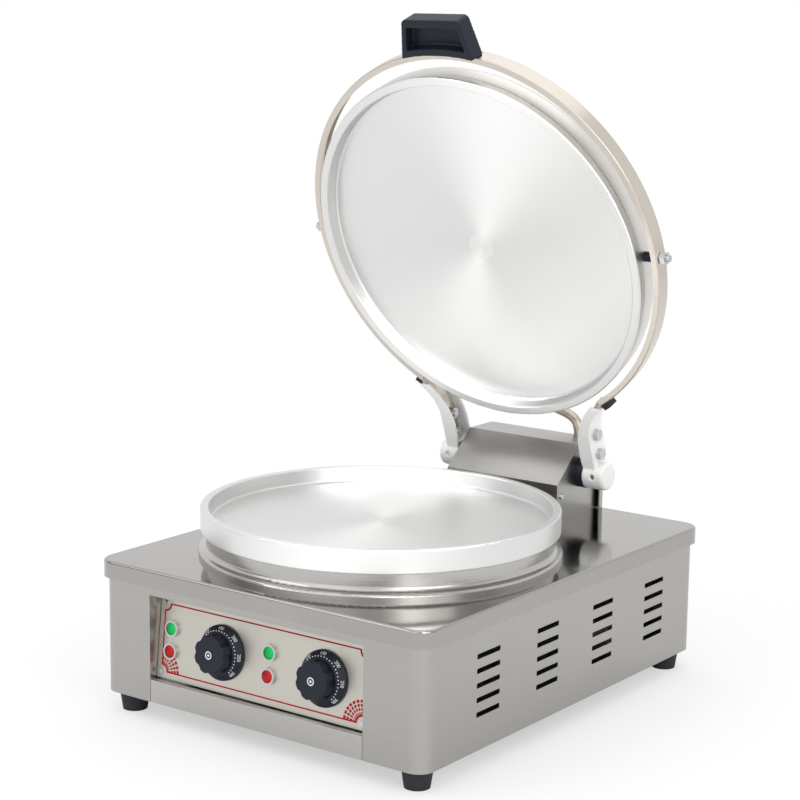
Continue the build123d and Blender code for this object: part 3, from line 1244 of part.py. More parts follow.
with BuildPart() as grub_screws:
    for sx in (-1, 1):
        grub_x = sx * (HUB_INNER_X + HUB_OUTER_X) / 2
        grub_plane = Plane(
            origin=hinge_point + x_direction * grub_x, x_dir=x_direction, z_dir=(0, -1, 0)
        )
        with BuildSketch(grub_plane.offset(SHAFT_RADIUS + RUNNING_CLEARANCE)):
            Circle(GRUB_RADIUS)
        extrude(amount=GRUB_LENGTH)
grub_screws.part.label = "grub_screws"
export_step(grub_screws.part, "parts/grub_screws.step")

with BuildPart() as arm_bolts:
    for sx in (-1, 1):
        with BuildSketch(side_view.offset(sx * arm_outer_x)):
            with Locations(*[(v, ARM_BOLT_N) for v in ARM_BOLT_V]):
                RegularPolygon(nut_corner_radius, 6)
        extrude(amount=sx * BOLT_HEAD_HEIGHT)
        with BuildSketch(side_view.offset(sx * arm_outer_x)):
            with Locations(*[(v, ARM_BOLT_N) for v in ARM_BOLT_V]):
                Circle(ARM_BOLT_RADIUS)
        extrude(amount=-sx * (ARM_WALL + SHEET + NUT_HEIGHT + SHEET))
arm_bolts.part.label = "arm_bolts"
export_step(arm_bolts.part, "parts/arm_bolts.step")

with BuildPart() as arm_nuts:
    for sx in (-1, 1):
        with BuildSketch(side_view.offset(sx * (ARM_WEB_X - SHEET))):
            with Locations(*[(v, ARM_BOLT_N) for v in ARM_BOLT_V]):
                RegularPolygon(nut_corner_radius, 6)
                Circle(ARM_BOLT_RADIUS + RUNNING_CLEARANCE, mode=Mode.SUBTRACT)
        extrude(amount=-sx * NUT_HEIGHT)
arm_nuts.part.label = "arm_nuts"
export_step(arm_nuts.part, "parts/arm_nuts.step")

with BuildPart() as arm_pads:
    pad_finish = HOOP_END_ANGLE + PAD_LENGTH_ANGLE
    pad_inner = HOOP_RADIUS + SEAT_GAP / 2
    for sx in (-1, 1):
        pad_angles = [radians(a) for a in (HOOP_END_ANGLE, (HOOP_END_ANGLE + pad_finish) / 2, pad_finish)]
        near_side = [(sx * pad_inner * sin(a), -pad_inner * cos(a)) for a in pad_angles]
        pad_outer = pad_inner + PAD_THICKNESS
        far_side = [(sx * pad_outer * sin(a), -pad_outer * cos(a)) for a in reversed(pad_angles)]
        with BuildSketch(hoop_plane.offset(-PAD_HALF_WIDTH)):
            with BuildLine():
                ThreePointArc(*near_side)
                Line(near_side[2], far_side[0])
                ThreePointArc(*far_side)
                Line(far_side[2], near_side[0])
            make_face()
        extrude(amount=2 * PAD_HALF_WIDTH)
arm_pads.part.label = "arm_pads"
export_step(arm_pads.part, "parts/arm_pads.step")

# Handle and its screws
with BuildPart() as handle:
    with BuildSketch(hoop_plane.offset(HANDLE_REAR_N)) as handle_outline:
        with BuildLine():
            Polyline(
                (-HANDLE_BOTTOM_HALF, HANDLE_BOTTOM_V),
                (-HANDLE_TOP_HALF, HANDLE_TOP_V),
                (HANDLE_TOP_HALF, HANDLE_TOP_V),
                (HANDLE_BOTTOM_HALF, HANDLE_BOTTOM_V),
                close=True,
            )
        make_face()
        top_corners = [(-HANDLE_TOP_HALF, HANDLE_TOP_V), (HANDLE_TOP_HALF, HANDLE_TOP_V)]
        fillet(corners(handle_outline, top_corners), HANDLE_CORNER)
        Circle(HOOP_RADIUS + SEAT_GAP / 2, mode=Mode.SUBTRACT)
    extrude(amount=HANDLE_FRONT_N - HANDLE_REAR_N)
    with BuildSketch(hoop_plane.offset(HANDLE_FRONT_N)):
        with BuildLine():
            Polyline(
                (-RECESS_BOTTOM_HALF, HANDLE_BOTTOM_V),
                (-RECESS_TOP_HALF, RECESS_TOP_V),
                (RECESS_TOP_HALF, RECESS_TOP_V),
                (RECESS_BOTTOM_HALF, HANDLE_BOTTOM_V),
                close=True,
            )
        make_face()
        Circle(RECESS_BOTTOM_RADIUS, mode=Mode.SUBTRACT)
    extrude(amount=-RECESS_DEPTH, mode=Mode.SUBTRACT)
    with BuildSketch(handle_screw_plane):
        with Locations((-HANDLE_SCREW_X, 0), (HANDLE_SCREW_X, 0)):
            Circle(HANDLE_SCREW_RADIUS + RUNNING_CLEARANCE)
    extrude(amount=HOOP_RADIUS + HANDLE_SCREW_LENGTH, mode=Mode.SUBTRACT)
handle.part.label = "handle"
export_step(handle.part, "parts/handle.step")

with BuildPart() as handle_screws:
    screw_seat = sqrt(inner_web**2 - (HANDLE_SCREW_X + HANDLE_SCREW_HEAD_RADIUS) ** 2) - SEAT_GAP
    with BuildSketch(handle_screw_plane.offset(screw_seat)):
        with Locations((-HANDLE_SCREW_X, 0), (HANDLE_SCREW_X, 0)):
            Circle(HANDLE_SCREW_HEAD_RADIUS)
    extrude(amount=-HANDLE_SCREW_HEAD_HEIGHT)
    with BuildSketch(handle_screw_plane.offset(screw_seat)):
        with Locations((-HANDLE_SCREW_X, 0), (HANDLE_SCREW_X, 0)):
            Circle(HANDLE_SCREW_RADIUS)
    extrude(amount=HANDLE_SCREW_LENGTH)
handle_screws.part.label = "handle_screws"
export_step(handle_screws.part, "parts/handle_screws.step")

# Upper pan
post_points = ring_points(POST_CIRCLE, POST_COUNT)
cover_inner_face = UPPER_COVER_BACK - SHEET
pivot_view = Plane(origin=pivot_point, x_dir=pan_plane.y_dir, z_dir=x_direction)
with BuildPart() as upper_pan:
    with BuildSketch(side_section(pan_plane)) as upper_profile:
        upper_lip_inner = UPPER_PAN_RADIUS - UPPER_PAN_LIP
        with BuildLine():
            Polyline(
                (0, UPPER_PAN_DEPTH),
                (upper_lip_inner - 2 * PAN_WALL_DRAFT, UPPER_PAN_DEPTH),
                (upper_lip_inner, 0),
                (UPPER_PAN_RADIUS, 0),
                (UPPER_PAN_RADIUS, UPPER_RIM_BAND),
                (UPPER_STEP_RADIUS, UPPER_RIM_BAND),
                (UPPER_STEP_RADIUS, UPPER_PAN_BACK),
                (0, UPPER_PAN_BACK),
                close=True,
            )
        make_face()
        rim_corners = [(upper_lip_inner, 0), (UPPER_PAN_RADIUS, 0), (UPPER_PAN_RADIUS, UPPER_RIM_BAND)]
        fillet(corners(upper_profile, rim_corners), PAN_EDGE_ROUND)
        floor_corner = (upper_lip_inner - 2 * PAN_WALL_DRAFT, UPPER_PAN_DEPTH)
        fillet(corners(upper_profile, [floor_corner]), PAN_FLOOR_ROUND)
    revolve(axis=turning_axis(pan_plane))
    with BuildSketch(pan_plane.offset(UPPER_PAN_BACK)):
        with Locations(*post_points):
            Circle(POST_RADIUS)
    extrude(amount=cover_inner_face - UPPER_PAN_BACK)
    boss_middle = (PIVOT_BOSS_START + UPPER_STEP_RADIUS) / 2 - SHEET
    with BuildSketch(pan_plane.offset(UPPER_PAN_BACK - SHEET)):
        with Locations((-boss_middle, -UPPER_PAN_OFFSET), (boss_middle, -UPPER_PAN_OFFSET)):
            Rectangle(UPPER_STEP_RADIUS - PIVOT_BOSS_START - SHEET, 2 * PIVOT_BOSS_HALF)
    extrude(amount=PIVOT_BOSS_BACK - UPPER_PAN_BACK + SHEET)
    for sx in (-1, 1):
        with BuildSketch(pivot_view.offset(sx * (PIVOT_BOLT_START - SEAT_GAP))):
            Circle(PIVOT_BOLT_RADIUS + RUNNING_CLEARANCE)
        extrude(amount=sx * HOOP_RADIUS, mode=Mode.SUBTRACT)
    with BuildSketch(pan_plane.offset(cover_inner_face)):
        with Locations(*post_points):
            Circle(COVER_SCREW_RADIUS + RUNNING_CLEARANCE)
    extrude(amount=-COVER_POST_SCREW_LENGTH, mode=Mode.SUBTRACT)
upper_pan.part.label = "upper_pan"
export_step(upper_pan.part, "parts/upper_pan.step")

gland_spot = (UPPER_GLAND_X, UPPER_GLAND_FROM_CENTRE)
with BuildPart() as upper_cover:
    with BuildSketch(side_section(pan_plane)) as cover_profile:
        inner_skirt = UPPER_COVER_RADIUS - SHEET
        with BuildLine():
            Polyline(
                (UPPER_COVER_RADIUS, UPPER_COVER_START),
                (UPPER_COVER_RADIUS, UPPER_COVER_BACK),
                (0, UPPER_COVER_BACK),
                (0, cover_inner_face),
                (inner_skirt, cover_inner_face),
                (inner_skirt, UPPER_COVER_START),
                close=True,
            )
        make_face()
        fillet(corners(cover_profile, [(UPPER_COVER_RADIUS, UPPER_COVER_BACK)]), UPPER_COVER_ROUND)
        fillet(corners(cover_profile, [(inner_skirt, cover_inner_face)]), UPPER_COVER_ROUND - SHEET)
    revolve(axis=turning_axis(pan_plane))
    with BuildSketch(pan_plane.offset(cover_inner_face)):
        with Locations(*post_points):
            Circle(COVER_SCREW_RADIUS + HOLE_CLEARANCE)
        with Locations(gland_spot):
            Circle(CONDUIT_BORE)
    extrude(amount=SHEET, mode=Mode.SUBTRACT)
    with BuildSketch(pivot_view.offset(-HOOP_RADIUS)):
        Circle(PIVOT_BOLT_RADIUS + RUNNING_CLEARANCE)
    extrude(amount=2 * HOOP_RADIUS, mode=Mode.SUBTRACT)
upper_cover.part.label = "upper_cover"
export_step(upper_cover.part, "parts/upper_cover.step")

with BuildPart() as upper_cover_screws:
    with BuildSketch(pan_plane.offset(UPPER_COVER_BACK)):
        with Locations(*post_points):
            Circle(COVER_POST_SCREW_HEAD)
    extrude(amount=COVER_POST_SCREW_HEAD_HEIGHT, taper=HEAD_TAPER)
    with BuildSketch(pan_plane.offset(UPPER_COVER_BACK)):
        with Locations(*post_points):
            Circle(COVER_SCREW_RADIUS)
    extrude(amount=-COVER_POST_SCREW_LENGTH)
upper_cover_screws.part.label = "upper_cover_screws"
export_step(upper_cover_screws.part, "parts/upper_cover_screws.step")

with BuildPart() as upper_heater:
    upper_heater_plane = pan_plane.offset(UPPER_PAN_BACK + HEATER_RADIUS + HOLE_CLEARANCE)
    with BuildLine(upper_heater_plane) as upper_heater_line:
        heater_path(heater_end)
    tip = upper_heater_plane.from_local_coords(Vector(*heater_ends[0], 0))
    tip_direction = (
        upper_heater_plane.x_dir * sin(heater_end) + upper_heater_plane.y_dir * cos(heater_end)
    )
    with BuildSketch(Plane(origin=tip, x_dir=pan_plane.z_dir, z_dir=tip_direction)):
        Circle(HEATER_RADIUS)
    sweep(path=upper_heater_line.wires()[0])
upper_heater.part.label = "upper_heater"
export_step(upper_heater.part, "parts/upper_heater.step")

with BuildPart() as upper_insulation:
    with BuildSketch(pan_plane.offset(UPPER_INSULATION_FRONT)):
        Circle(UPPER_INSULATION_RADIUS)
    extrude(amount=cover_inner_face - UPPER_INSULATION_FRONT)
upper_insulation.part.label = "upper_insulation"
export_step(upper_insulation.part, "parts/upper_insulation.step")

# Pivot bolts, spacers and nuts
hoop_bore_x = HOOP_RADIUS - SHEET
spacer_end_x = sqrt(hoop_bore_x**2 - PIVOT_SPACER_RADIUS**2) - SEAT_GAP
with BuildPart() as pivot_bolts:
    for sx in (-1, 1):
        with BuildSketch(pivot_view.offset(sx * PIVOT_BOLT_START)):
            Circle(PIVOT_BOLT_RADIUS)
        extrude(amount=sx * (PIVOT_BOLT_END - PIVOT_BOLT_START))
pivot_bolts.part.label = "pivot_bolts"
export_step(pivot_bolts.part, "parts/pivot_bolts.step")

with BuildPart() as pivot_spacers:
    for sx in (-1, 1):
        with BuildSketch(pivot_view.offset(sx * (UPPER_COVER_RADIUS + HOLE_CLEARANCE))):
            Circle(PIVOT_SPACER_RADIUS)
            Circle(PIVOT_BOLT_RADIUS + RUNNING_CLEARANCE, mode=Mode.SUBTRACT)
        extrude(amount=sx * (spacer_end_x - UPPER_COVER_RADIUS - HOLE_CLEARANCE))
pivot_spacers.part.label = "pivot_spacers"
export_step(pivot_spacers.part, "parts/pivot_spacers.step")

with BuildPart() as pivot_nuts:
    for sx in (-1, 1):
        with BuildSketch(pivot_view.offset(sx * (HOOP_RADIUS + SEAT_GAP))):
            RegularPolygon(nut_corner_radius, 6)
            Circle(PIVOT_BOLT_RADIUS + RUNNING_CLEARANCE, mode=Mode.SUBTRACT)
        extrude(amount=sx * NUT_HEIGHT)
pivot_nuts.part.label = "pivot_nuts"
export_step(pivot_nuts.part, "parts/pivot_nuts.step")

# Conduit, its elbow on the hinge box and its gland on the upper cover
with BuildPart() as conduit_elbow:
    with BuildSketch(Plane.XY.offset(ELBOW_BOTTOM)):
        with Locations((CONDUIT_X, CONDUIT_DOWN_Y)):
            Circle(ELBOW_RADIUS)
    extrude(amount=ELBOW_TOP - ELBOW_BOTTOM)
    with BuildSketch(Plane.XZ.offset(-CONDUIT_DOWN_Y)):
        with Locations((CONDUIT_X, ELBOW_NECK_Z)):
            Circle(ELBOW_NECK_RADIUS)
    extrude(amount=CONDUIT_DOWN_Y - BRACKET_BACK_Y)
    with BuildSketch(Plane.XZ.offset(-deck_back_y + COVER_SHEET)):
        with Locations((CONDUIT_X, ELBOW_NECK_Z)):
            Circle(ELBOW_NECK_RADIUS + 2 * SHEET)
    extrude(amount=2 * SHEET)
    with BuildSketch(Plane.XY.offset(ELBOW_TOP)):
        with Locations((CONDUIT_X, CONDUIT_DOWN_Y)):
            Circle(CONDUIT_BORE)
    extrude(amount=ELBOW_NECK_Z - ELBOW_TOP, mode=Mode.SUBTRACT)
conduit_elbow.part.label = "conduit_elbow"
export_step(conduit_elbow.part, "parts/conduit_elbow.step")

gland_base = pan_plane.offset(UPPER_COVER_BACK)
conduit_start = gland_base.from_local_coords(Vector(*gland_spot, UPPER_GLAND_HEIGHT))
with BuildPart() as conduit_gland:
    with BuildSketch(gland_base):
        with Locations(gland_spot):
            RegularPolygon(ELBOW_RADIUS + 2 * SHEET, 6)
    extrude(amount=UPPER_GLAND_HEIGHT / 2)
    with BuildSketch(gland_base.offset(UPPER_GLAND_HEIGHT / 2)):
        with Locations(gland_spot):
            Circle(ELBOW_RADIUS)
    extrude(amount=UPPER_GLAND_HEIGHT / 2)
    with BuildSketch(gland_base):
        with Locations(gland_spot):
            Circle(CONDUIT_BORE)
    extrude(amount=UPPER_GLAND_HEIGHT, mode=Mode.SUBTRACT)
conduit_gland.part.label = "conduit_gland"
export_step(conduit_gland.part, "parts/conduit_gland.step")

conduit_points = [
    conduit_start,
    conduit_start + pan_back * 26,
    Vector(-29, 272, 333),
    Vector(-22, 284.5, 306),
    Vector(3, 286, 286),
    Vector(33, 285.5, 279),
    Vector(CONDUIT_X, CONDUIT_DOWN_Y, 268),
    Vector(CONDUIT_X, CONDUIT_DOWN_Y, ELBOW_TOP),
]
conduit_runs = [b - a for a, b in zip(conduit_points, conduit_points[1:])]
conduit_radii = [
    0.45 * min(a.length, b.length) / (sin(radians(a.get_angle(b)) / 2) / cos(radians(a.get_angle(b)) / 2))
    for a, b in zip(conduit_runs, conduit_runs[1:])
]
print("conduit radii", [round(radius, 1) for radius in conduit_radii])
with BuildPart() as conduit:
    with BuildLine() as conduit_line:
        FilletPolyline(*conduit_points, radius=conduit_radii)
    with BuildSketch(Plane(origin=conduit_start, z_dir=pan_back)):
        Circle(CONDUIT_RADIUS)
    sweep(path=conduit_line.wires()[0])
conduit_length = conduit_line.wires()[0].length
print("conduit length", round(conduit_length, 1))
print("conduit volume ratio", round(conduit.part.volume / (pi * CONDUIT_RADIUS**2 * conduit_length), 4))
conduit.part.label = "conduit"
export_step(conduit.part, "parts/conduit.step")
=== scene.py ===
"""Looks of a countertop pancake cooker: finishes, printed marks, cast pieces and the studio round it."""

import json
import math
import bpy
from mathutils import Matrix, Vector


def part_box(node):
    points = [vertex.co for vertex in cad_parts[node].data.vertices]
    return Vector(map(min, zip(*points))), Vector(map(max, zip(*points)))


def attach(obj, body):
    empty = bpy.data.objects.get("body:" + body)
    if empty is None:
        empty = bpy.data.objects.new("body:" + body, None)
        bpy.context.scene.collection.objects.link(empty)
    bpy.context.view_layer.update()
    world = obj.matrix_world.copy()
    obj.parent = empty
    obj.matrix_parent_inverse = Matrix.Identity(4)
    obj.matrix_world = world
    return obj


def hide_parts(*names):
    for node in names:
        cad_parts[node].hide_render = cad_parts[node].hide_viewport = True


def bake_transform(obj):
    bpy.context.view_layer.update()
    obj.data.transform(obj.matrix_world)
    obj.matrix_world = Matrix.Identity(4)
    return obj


bl_info = {
    "name": "Pancake Cooker Looks",
    "version": (1, 0, 0),
    "blender": (4, 5, 0),
    "location": "3D View > Sidebar > Cooker",
    "description": "Dresses a countertop pancake cooker and sets up its studio",
    "category": "Object",
}

import bmesh
import bpy
from bpy.props import FloatProperty, FloatVectorProperty, IntProperty, PointerProperty
from mathutils import Matrix, Vector

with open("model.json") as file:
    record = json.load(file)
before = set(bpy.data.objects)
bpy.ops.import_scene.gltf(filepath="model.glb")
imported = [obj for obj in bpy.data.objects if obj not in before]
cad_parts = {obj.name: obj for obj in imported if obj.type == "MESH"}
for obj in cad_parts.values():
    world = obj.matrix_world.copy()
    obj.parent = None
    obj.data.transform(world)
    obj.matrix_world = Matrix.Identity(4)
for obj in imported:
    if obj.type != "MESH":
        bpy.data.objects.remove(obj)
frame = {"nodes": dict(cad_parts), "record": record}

MM = 0.001

# Camera, as it stood for the photograph
CAMERA_PLACE = Vector((1.37027, -1.88546, 0.78098))
CAMERA_AZIMUTH = math.radians(36.35)
CAMERA_ELEVATION = math.radians(10.84)
CAMERA_ROLL = math.radians(0.735)
CAMERA_LENS = 95.26
CAMERA_SENSOR = 36.0
CAMERA_REACH = 100

# Lamps: name, place, size and watts
LIGHTS = (
    ("key", (-1.6, -1.9, 2.4), 1.8, 16),
    ("fill", (2.2, -1.0, 1.5), 1.6, 13),
    ("top", (0.0, 0.5, 2.8), 2.2, 9),
)
LIGHT_TARGET = Vector((0, 0, 0.3))

# Floor, whose white share grows with the distance from the cooker
FLOOR_HALF = 12.0
FLOOR_FADE = 2.2
FLOOR_WHITE = 0.4

# Sky: its level as plain light, and what metal sees beside the camera as turn, half width, amount.
# A strip is full over the middle of its width, a share of one over STRIP_CORE.
DIFFUSE_SKY = 0.92
STRIP_CORE = 3
STRIP_BOXES = (
    (math.radians(-34), math.radians(28), 0.5),
    (math.radians(-92), math.radians(22), -0.55),
    (math.radians(19), math.radians(15), 1.5),
    (math.radians(62), math.radians(26), -0.35),
)

# Brushed sheet: scratches to the metre across the brushing and along it
SCRATCHES_ACROSS = 2600
SCRATCHES_ALONG = 14

# Pans: tilt of their axes, the disc left by the lathe, and the painted highlight and painted shade of the
# turned face: a bright fan and duller sectors in its colour
LOWER_PAN_TILT = 0.0
UPPER_PAN_TILT = math.radians(68.0)
CENTRE_DISC_RADIUS = 16 * MM
GROOVE_PITCH = 0.3 * MM
FAN_TURN = math.radians(24)
FAN_PAINTED_SHADE = 0.94
FAN_PAINTED_HIGHLIGHT = 1.3
FAN_HIGHLIGHT_SHARE = 0.8
PATCH_SHARE = 0.2
DISC_HIGHLIGHT_SHARE = 0.3
DISC_FAN_HIGHLIGHT_LOSS = 0.5
DISC_ROUGHNESS = 0.6

# Lamp lenses, with painted light in their emission, brightest where a lens faces the eye
LENS_PAINTED_GLOW = 0.55
LENS_LEVEL = 0.75
LENS_FACETS = 0.5

# Knobs, measured from the panel's face
DIAL_RADIUS = 30 * MM
DIAL_RIM_HEIGHT = 2.6 * MM
DIAL_STEP_RADIUS = 22.3 * MM
DIAL_TOP_HEIGHT = 10 * MM
DOT_RING_RADIUS = 24.2 * MM
NUMBER_RING_RADIUS = 27.1 * MM
DIAL_SWEEP = math.radians(270)
DIAL_START = math.radians(225)
CAP_RING_OUTER = 4.3 * MM
CAP_RING_INNER = 3.2 * MM
CAP_DOT = 1.3 * MM
CAP_BLACK = (0.03, 0.03, 0.035)
CAP_WHITE = (0.8, 0.8, 0.8, 1.0)
DIAL_NUMBERS = ("0", "50", "100", "150", "200", "250", "300")
DOT_SEGMENTS = 10
DOT_RINGS = 6

# Panel print, between the corner screws
SCREW_INSET = 3.3 * MM
LINE_WIDTH = 2.1 * MM
PRINT_THICKNESS = 0.12 * MM
CORNER_ARC_RADIUS = 8 * MM
CORNER_STEPS = 10
FAN_FIRST_RADIUS = 10.5 * MM
FAN_RING_STEP = 4.2 * MM
FAN_RINGS = 4
FAN_DASHES = 7
FAN_MARGIN = math.radians(6)
FAN_DASH_LENGTH = 3.0 * MM
FAN_DASH_WIDTH = 1.2 * MM
FAN_DASH_SPREAD = 0.75 * MM

# Conduit's route, as the solid has it
CONDUIT_RADIUS = 6 * MM
CONDUIT_SIDES = 32
CONDUIT_ROUTE = [
    Vector(point) * MM
    for point in (
        (-29, 272, 333),
        (-22, 284.5, 306),
        (3, 286, 286),
        (33, 285.5, 279),
        (45, 285, 268),
        (45, 285, 250),
    )
]
ROUTE_STEPS = 12
GLAND_START = 5 * MM
GLAND_STEP = 26 * MM
GLAND_SHARE = 0.2

# Softened copies: corners of the solid's mesh closer than this are one
WELD_GAP = 0.001 * MM


class Shade:
    """A value in a shader, so that maths on it is written as maths."""

    def __init__(self, finish, socket):
        self.finish = finish
        self.socket = socket

    def _maths(self, operation, first, second=0.0):
        made = self.finish.node("ShaderNodeMath", {"operation": operation}, {0: first, 1: second})
        return Shade(self.finish, made.outputs[0])

    def __add__(self, other):
        return self._maths("ADD", self, other)

    def __sub__(self, other):
        return self._maths("SUBTRACT", self, other)

    def __rsub__(self, other):
        return self._maths("SUBTRACT", other, self)

    def __mul__(self, other):
        return self._maths("MULTIPLY", self, other)

    def __truediv__(self, other):
        return self._maths("DIVIDE", self, other)

    def below(self, limit):
        return self._maths("LESS_THAN", self, limit)

    def at_most(self, limit):
        return self._maths("MINIMUM", self, limit)

    def sine(self):
        return self._maths("SINE", self)

    def angle(self, other):
        return self._maths("ARCTAN2", self, other)


class Finish:
    """One material, with the nodes of its surface."""

    def __init__(self, name, color, roughness, metallic=0.0, constants=None):
        self.material = bpy.data.materials.new(name)
        self.material.use_nodes = True
        self.tree = self.material.node_tree
        self.shader = self.tree.nodes["Principled BSDF"]
        self.color = tuple(color)[:3] + (1.0,)
        self.roughness = roughness
        self.shader.inputs["Base Color"].default_value = self.color
        self.shader.inputs["Roughness"].default_value = roughness
        self.shader.inputs["Metallic"].default_value = metallic
        for socket, value in (constants or {}).items():
            self.shader.inputs[socket].default_value = value
        self.material.diffuse_color = self.color

    def node(self, kind, settings=None, inputs=None):
        """A node of this kind, with its settings, then its sockets' values or links."""
        made = self.tree.nodes.new(kind)
        for setting, value in (settings or {}).items():
            setattr(made, setting, value)
        for socket, value in (inputs or {}).items():
            if isinstance(value, Shade):
                self.tree.links.new(value.socket, made.inputs[socket])
            else:
                made.inputs[socket].default_value = value
        return made

    def shade(self, node, output=0):
        return Shade(self, node.outputs[output])

    def place(self):
        return self.shade(self.node("ShaderNodeTexCoord"), "Object")

    def vector(self, operation, first, second=(0, 0, 0), output="Vector"):
        made = self.node("ShaderNodeVectorMath", {"operation": operation}, {0: first, 1: second})
        return self.shade(made, output)

    def scaled(self, vector, factor):
        made = self.node("ShaderNodeVectorMath", {"operation": "SCALE"}, {0: vector, "Scale": factor})
        return self.shade(made)

    def noise(self, scale, detail=2.0, stretch=(1, 1, 1)):
        mapped = self.vector("MULTIPLY", self.place(), stretch)
        made = self.node("ShaderNodeTexNoise", None, {"Vector": mapped, "Scale": scale, "Detail": detail})
        return self.shade(made, 0)

    def mix(self, factor, first, second):
        made = self.node("ShaderNodeMix", {"data_type": "RGBA"}, {0: factor, 6: first, 7: second})
        return self.shade(made, 2)

    def off_axis(self, centre, axis):
        """The way from an axis to the surface, square to the axis, and its length."""
        offset = self.vector("SUBTRACT", self.place(), tuple(centre))
        along = self.vector("DOT_PRODUCT", offset, tuple(axis), "Value")
        flat = self.vector("SUBTRACT", offset, self.scaled(tuple(axis), along))
        return flat, self.vector("LENGTH", flat, output="Value")

    def feed(self, socket, value):
        self.tree.links.new(value.socket, self.shader.inputs[socket])

    def vary_color(self, factor, amount):
        """Darkens and lightens the base colour by the given share."""
        dark = toned(self.color[:3], 1 - amount) + (1.0,)
        light = toned(self.color[:3], 1 + amount) + (1.0,)
        self.feed("Base Color", self.mix(factor, dark, light))

    def vary_roughness(self, factor, amount):
        self.feed("Roughness", factor * amount + (self.roughness - amount / 2))

    def bump(self, height, strength, distance):
        values = {"Height": height, "Strength": strength, "Distance": distance}
        made = self.node("ShaderNodeBump", None, values)
        self.feed("Normal", self.shade(made))

    def grooves(self, direction, height, amount):
        """Tips the surface along one direction only, as brushing or turning does."""
        turned = self.node(
            "ShaderNodeVectorTransform",
            {"vector_type": "VECTOR", "convert_from": "OBJECT", "convert_to": "WORLD"},
            {0: direction},
        )
        tip = self.scaled(self.shade(turned), (height - 0.5) * amount)
        normal = self.shade(self.node("ShaderNodeNewGeometry"), "Normal")
        self.feed("Normal", self.vector("NORMALIZE", self.vector("ADD", normal, tip)))


def brushed(name, color, roughness, across, amount=0.12):
    """Brushed sheet metal, its scratches lying square to the axis across."""
    finish = Finish(name, color, roughness, metallic=1.0)
    stretch = tuple(SCRATCHES_ACROSS if axis == across else SCRATCHES_ALONG for axis in "XYZ")
    scratches = finish.noise(scale=1.0, stretch=stretch)
    clouds = finish.noise(scale=9.0, detail=3.0)
    finish.vary_color(scratches * 0.5 + clouds * 0.5, amount=0.10)
    finish.vary_roughness(clouds, amount=0.10)
    direction = tuple(1.0 if axis == across else 0.0 for axis in "XYZ")
    finish.grooves(direction, scratches, amount)
    return finish.material


def turned(name, color, roughness, centre, axis):
    """Metal faced on a lathe: fine rings about an axis, and a small disc left at the centre. Its colour
    holds a painted highlight and painted shade: a bright fan and duller sectors by the angle about the
    axis, the disc painted lighter.
    """
    finish = Finish(name, color, roughness, metallic=1.0)
    flat, radius = finish.off_axis(centre, axis)
    ring = finish.node(
        "ShaderNodeTexNoise", {"noise_dimensions": "1D"}, {"W": radius / GROOVE_PITCH, "Scale": 1.0}
    )
    up = Vector((1, 0, 0)).cross(axis)
    across = finish.vector("DOT_PRODUCT", flat, (1, 0, 0), "Value")
    upward = finish.vector("DOT_PRODUCT", flat, tuple(up), "Value")
    # Painted highlight and painted shade: the colour is lighter in two opposite fan sectors, darker
    # between them and lighter on the centre disc; the patches are random tone.
    wave = (across.angle(upward) * 2.0 + (math.pi / 2 - 2 * FAN_TURN)).sine() * 0.5 + 0.5
    fan = wave * wave * wave
    disc = radius.below(CENTRE_DISC_RADIUS)
    patches = finish.noise(scale=5.0, detail=3.0)
    painted_highlight_and_patches = fan * FAN_HIGHLIGHT_SHARE + patches * PATCH_SHARE + disc * (DISC_HIGHLIGHT_SHARE - fan * DISC_FAN_HIGHLIGHT_LOSS)
    painted_shade_tone = toned(finish.color[:3], FAN_PAINTED_SHADE) + (1.0,)
    bright = toned(finish.color[:3], FAN_PAINTED_HIGHLIGHT) + (1.0,)
    finish.feed("Base Color", finish.mix(painted_highlight_and_patches, painted_shade_tone, bright))
    finish.vary_roughness(patches + disc * DISC_ROUGHNESS, amount=0.12)
    finish.grooves(finish.vector("NORMALIZE", flat), finish.shade(ring), amount=0.22)
    return finish.material


def cast(name, color, roughness, metallic):
    """Cast metal under a thin paint, with its slightly uneven skin."""
    finish = Finish(name, color, roughness, metallic, {"Coat Weight": 0.15})
    skin = finish.noise(scale=420.0, detail=3.0)
    finish.vary_color(finish.noise(scale=38.0, detail=4.0), amount=0.06)
    finish.vary_roughness(skin, amount=0.16)
    finish.bump(skin, strength=0.25, distance=0.4 * MM)
    return finish.material


def moulded(name, color, roughness, grain=900.0):
    """Moulded plastic or rubber with a fine grain."""
    finish = Finish(name, color, roughness, constants={"Specular IOR Level": 0.22})
    skin = finish.noise(scale=grain)
    finish.vary_color(finish.noise(scale=30.0, detail=3.0), amount=0.12)
    finish.vary_roughness(skin, amount=0.14)
    finish.bump(skin, strength=0.3, distance=0.15 * MM)
    return finish.material


def plated(name, color, roughness):
    """Plated steel, faintly mottled."""
    finish = Finish(name, color, roughness, metallic=1.0)
    clouds = finish.noise(scale=160.0, detail=3.0)
    finish.vary_color(clouds, amount=0.12)
    finish.vary_roughness(clouds, amount=0.16)
    return finish.material


def lens(name, color, painted_glow_color):
    """A coloured lamp lens, dark at its rim, with painted light in its emission that is brightest in its
    middle, where it faces the eye.
    """
    constants = {"Specular IOR Level": 0.25, "Emission Strength": LENS_PAINTED_GLOW}
    finish = Finish(name, color, roughness=0.2, constants=constants)
    facets = finish.noise(scale=260.0, detail=1.0)
    finish.vary_color(facets, amount=0.35)
    # Painted light: the emission grows as the lens faces the eye, so its middle shines and its rim stays
    # dark.
    facing = 1.0 - finish.shade(finish.node("ShaderNodeLayerWeight", None, {"Blend": 0.5}), "Facing")
    middle = facing * facing * (facets * LENS_FACETS + LENS_LEVEL)
    finish.feed("Emission Color", finish.mix(middle, (0, 0, 0, 1), tuple(painted_glow_color) + (1.0,)))
    return finish.material


